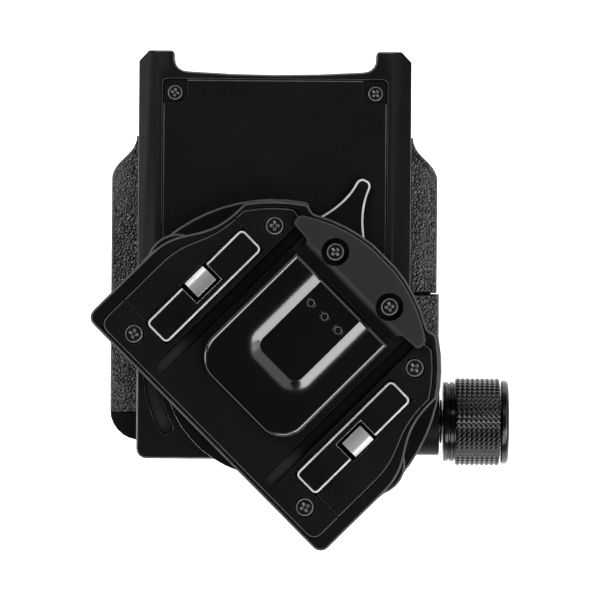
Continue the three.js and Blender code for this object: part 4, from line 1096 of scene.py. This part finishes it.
@dataclass
class Screws:
    """Cross-head screws with a domed crown and a tapered recess."""

    columns: int = 96
    crown_rings: int = 30
    dome: float = 0.16
    arm: float = 0.62
    blade: float = 0.15
    sink: float = 0.42 * MM

    def build(self, finishes: Finishes) -> None:
        """Makes and dresses every screw.

        Args:
            finishes: the finishes to dress them in.
        """
        names = [n for n in frame["nodes"] if "screw" in n]
        for number, node in enumerate(sorted(names)):
            down = "cheek" in node
            finishes.dress(self._screw(node, math.radians(37 * number), down), "black_screw")
        LOG.info("cut %d screws", len(names))

    def _screw(self, node: str, angle: float, down: bool) -> bpy.types.Object:
        """One screw: shank, flat seat, side and a domed crown with a cross sunk in it.

        The cross is the deeper of two bars, each as deep as its distance from its ends allows.

        Args:
            node: CAD node that it stands for.
            angle: turn of the cross in radians.
            down: True if the head looks down.

        Returns:
            The screw.
        """
        low, high = corners_of(node)
        middle = (low + high) / 2
        radius = (high[0] - low[0]) / 2
        length = high[2] - low[2]
        head = min(0.35 * radius + 0.2 * MM, 0.3 * length)
        shank = 0.5 * radius
        side = np.array([
            (0.3 * shank, 0), (shank, 0.25 * MM), (shank, length - head), (0.94 * radius, length - head),
            (radius, length - 0.92 * head), (radius, length - 0.5 * head),
            (0.97 * radius, length - 0.42 * head),
        ])
        share = np.linspace(0, 0.985, self.crown_rings)
        reach = 0.86 * radius * (1 - share)
        crown = length - self.dome * head * (reach / radius) ** 2
        rings = revolved(np.vstack([side, np.stack([reach, crown], axis=1)]), self.columns)
        c, s = math.cos(angle), math.sin(angle)
        x = (c * rings[..., 0] + s * rings[..., 1]) / radius
        y = (c * rings[..., 1] - s * rings[..., 0]) / radius
        bars = [
            smooth_step((self.blade - np.abs(across)) / 0.07) * smooth_step((self.arm - np.abs(along)) / 0.45)
            for across, along in ((x, y), (y, x))
        ]
        cross = np.maximum(*bars)
        on_crown = (np.arange(len(rings)) >= len(side))[:, None]
        rings[..., 2] -= np.where(on_crown, cross * min(self.sink, 0.8 * head), 0)
        if down:
            rings = np.stack([rings[..., 0], -rings[..., 1], length - rings[..., 2]], axis=-1)
        rings = rings + np.array([middle[0], middle[1], low[2]])
        piece = mesh_of_rings(f"{node}_cut", rings, 45.0)
        stand_for(piece, node)
        return piece


@dataclass
class Springs:
    """Wound springs in place of their plain CAD stand-ins."""

    wire: float = 0.22 * MM
    coils: float = 5.0
    per_coil: int = 28
    round_wire: int = 8

    def build(self, finishes: Finishes) -> None:
        """Makes and dresses the pawl springs and the lever spring.

        Args:
            finishes: the finishes to dress them in.
        """
        for node in ("left_pawl_spring", "right_pawl_spring"):
            low, high = corners_of(node)
            middle = (low + high) / 2
            coil = self._coil((high[0] - low[0]) / 2, high[2] - low[2], self.coils)
            piece = mesh_of_rings(f"{node}_wound", coil + middle, 50.0)
            stand_for(piece, node)
            finishes.dress(piece, "steel")
        low, high = corners_of("lever_spring")
        middle = (low + high) / 2
        radius = (high[2] - low[2]) / 2
        length = math.hypot(high[0] - low[0], high[1] - low[1]) - 2.6 * radius
        coil = self._coil(radius, length, 3 * self.coils)
        laid = np.stack([coil[..., 2], coil[..., 0], coil[..., 1]], axis=-1)
        tilt = REST_TURN + math.radians(19)
        piece = mesh_of_rings("lever_spring_wound", turned(laid, tilt) + middle, 50.0)
        stand_for(piece, "lever_spring")
        finishes.dress(piece, "steel")
        LOG.info("wound springs")

    def _coil(self, radius: float, length: float, coils: float) -> np.ndarray:
        """Rings of wire carried along a helix about an upright axis.

        Args:
            radius: outer radius of the spring.
            length: height of the spring.
            coils: number of turns.

        Returns:
            Array of rings, points, and x, y and z, about the origin.
        """
        along = np.linspace(0, 1, round(coils * self.per_coil))[:, None]
        wire = min(self.wire, 0.4 * radius)
        turn = 2 * math.pi * coils * along
        ring = np.linspace(0, 2 * math.pi, self.round_wire, endpoint=False)[None]
        reach = radius - wire + wire * np.cos(ring)
        height = (along - 0.5) * (length - 2 * wire) + wire * np.sin(ring)
        rings = np.stack([reach * np.cos(turn), reach * np.sin(turn), height], axis=-1)
        return rings[:, ::-1]


# ------------------------------------------------------------------ studio
@dataclass(frozen=True)
class Lamp:
    """A square soft light: direction and height in degrees, distance and side in metres."""

    name: str
    azimuth: float
    elevation: float
    reach: float
    radiance: float
    size: float


@dataclass
class Studio:
    """Pale floor, soft lights and the camera straight above."""

    distance: float = 1.4
    field_width: float = 154.5 * MM
    centre: tuple[float, float] = (6.74 * MM, 17.22 * MM)
    roll: float = math.radians(0.42)
    sensor: float = 36.0
    height_of_focus: float = 20 * MM
    lamps: tuple[Lamp, ...] = (
        Lamp("lower_right_box", -45, 50, 1.0, 8.0, 0.58),
        Lamp("upper_left_box", 135, 51, 1.0, 9.0, 0.5),
        Lamp("upper_right_fill", 42, 50, 1.0, 1.2, 0.7),
        Lamp("right_box", 0, 50, 1.0, 3.0, 0.4),
        Lamp("front_box", -90, 42, 1.0, 6.0, 0.4),
        Lamp("left_strip", 180, 17, 1.0, 6.0, 0.4),
    )

    def build(self) -> None:
        """Makes the camera, the floor, the world and the lights."""
        self._camera()
        self._floor()
        self._world()
        for lamp in self.lamps:
            self._lamp(lamp)

    def _camera(self) -> None:
        """Camera that looks straight down, turned by a small roll."""
        data = bpy.data.cameras.new("camera")
        data.sensor_width = self.sensor
        data.lens = self.sensor * self.distance / self.field_width
        data.clip_end = 20
        camera = bpy.data.objects.new("camera", data)
        camera.location = (*self.centre, self.height_of_focus + self.distance)
        camera.rotation_euler = (0, 0, self.roll)
        bpy.context.scene.collection.objects.link(camera)
        bpy.context.scene.camera = camera

    @staticmethod
    def _floor() -> None:
        """Wide matte floor just under the mount."""
        mesh = bpy.data.meshes.new("floor")
        reach, level = 3.0, CAD_BOX[0][2] - 0.0002
        around = ((-1, -1), (1, -1), (1, 1), (-1, 1))
        corners = [(reach * x, reach * y, level) for x, y in around]
        mesh.from_pydata(corners, [], [(0, 1, 2, 3)])
        floor = bpy.data.objects.new("floor", mesh)
        material = bpy.data.materials.new("floor_white")
        material.use_nodes = True
        shader = material.node_tree.nodes["Principled BSDF"]
        shader.inputs["Base Color"].default_value = (0.8, 0.8, 0.8, 1)
        shader.inputs["Roughness"].default_value = 0.9
        shader.inputs["Emission Color"].default_value = (1, 1, 1, 1)
        shader.inputs["Emission Strength"].default_value = 0.9
        mesh.materials.append(material)
        bpy.context.scene.collection.objects.link(floor)

    @staticmethod
    def _world() -> None:
        """Room that is pale round the horizon and dim overhead."""
        world = bpy.data.worlds.new("room")
        bpy.context.scene.world = world
        world.use_nodes = True
        tree = world.node_tree
        place = tree.nodes.new("ShaderNodeTexCoord")
        apart = tree.nodes.new("ShaderNodeSeparateXYZ")
        ramp = tree.nodes.new("ShaderNodeValToRGB")
        ramp.color_ramp.elements[0].position = 0.04
        ramp.color_ramp.elements[0].color = (0.8, 0.8, 0.8, 1)
        ramp.color_ramp.elements[1].position = 0.4
        ramp.color_ramp.elements[1].color = (0.015, 0.015, 0.015, 1)
        tree.links.new(place.outputs["Generated"], apart.inputs["Vector"])
        tree.links.new(apart.outputs["Z"], ramp.inputs["Fac"])
        tree.links.new(ramp.outputs["Color"], tree.nodes["Background"].inputs["Color"])
        tree.nodes["Background"].inputs["Strength"].default_value = 1.0

    @staticmethod
    def _lamp(lamp: Lamp) -> None:
        """Places one soft light so that it looks at the mount.

        Args:
            lamp: the light to place.
        """
        data = bpy.data.lights.new(lamp.name, "AREA")
        data.size = lamp.size
        data.energy = math.pi * lamp.size**2 * lamp.radiance
        placed = bpy.data.objects.new(lamp.name, data)
        a, e = math.radians(lamp.azimuth), math.radians(lamp.elevation)
        way = np.array([math.cos(a) * math.cos(e), math.sin(a) * math.cos(e), math.sin(e)])
        placed.location = lamp.reach * way
        placed.rotation_euler = (math.pi / 2 - e, 0, a + math.pi / 2)
        bpy.context.scene.collection.objects.link(placed)


def main() -> None:
    """Builds the studio and every sub-assembly in order."""
    logging.basicConfig(level=logging.INFO, format="%(name)s: %(message)s")
    bpy.context.scene.view_settings.view_transform = "Standard"
    Studio().build()
    finishes = Finishes()
    finishes.build()
    finishes.dress_frame()
    for assembly in (ShellWork(), LockKnob(), GripPads(), Tongue(), Screws(), Springs()):
        assembly.build(finishes)


if __name__ == "__main__":
    main()
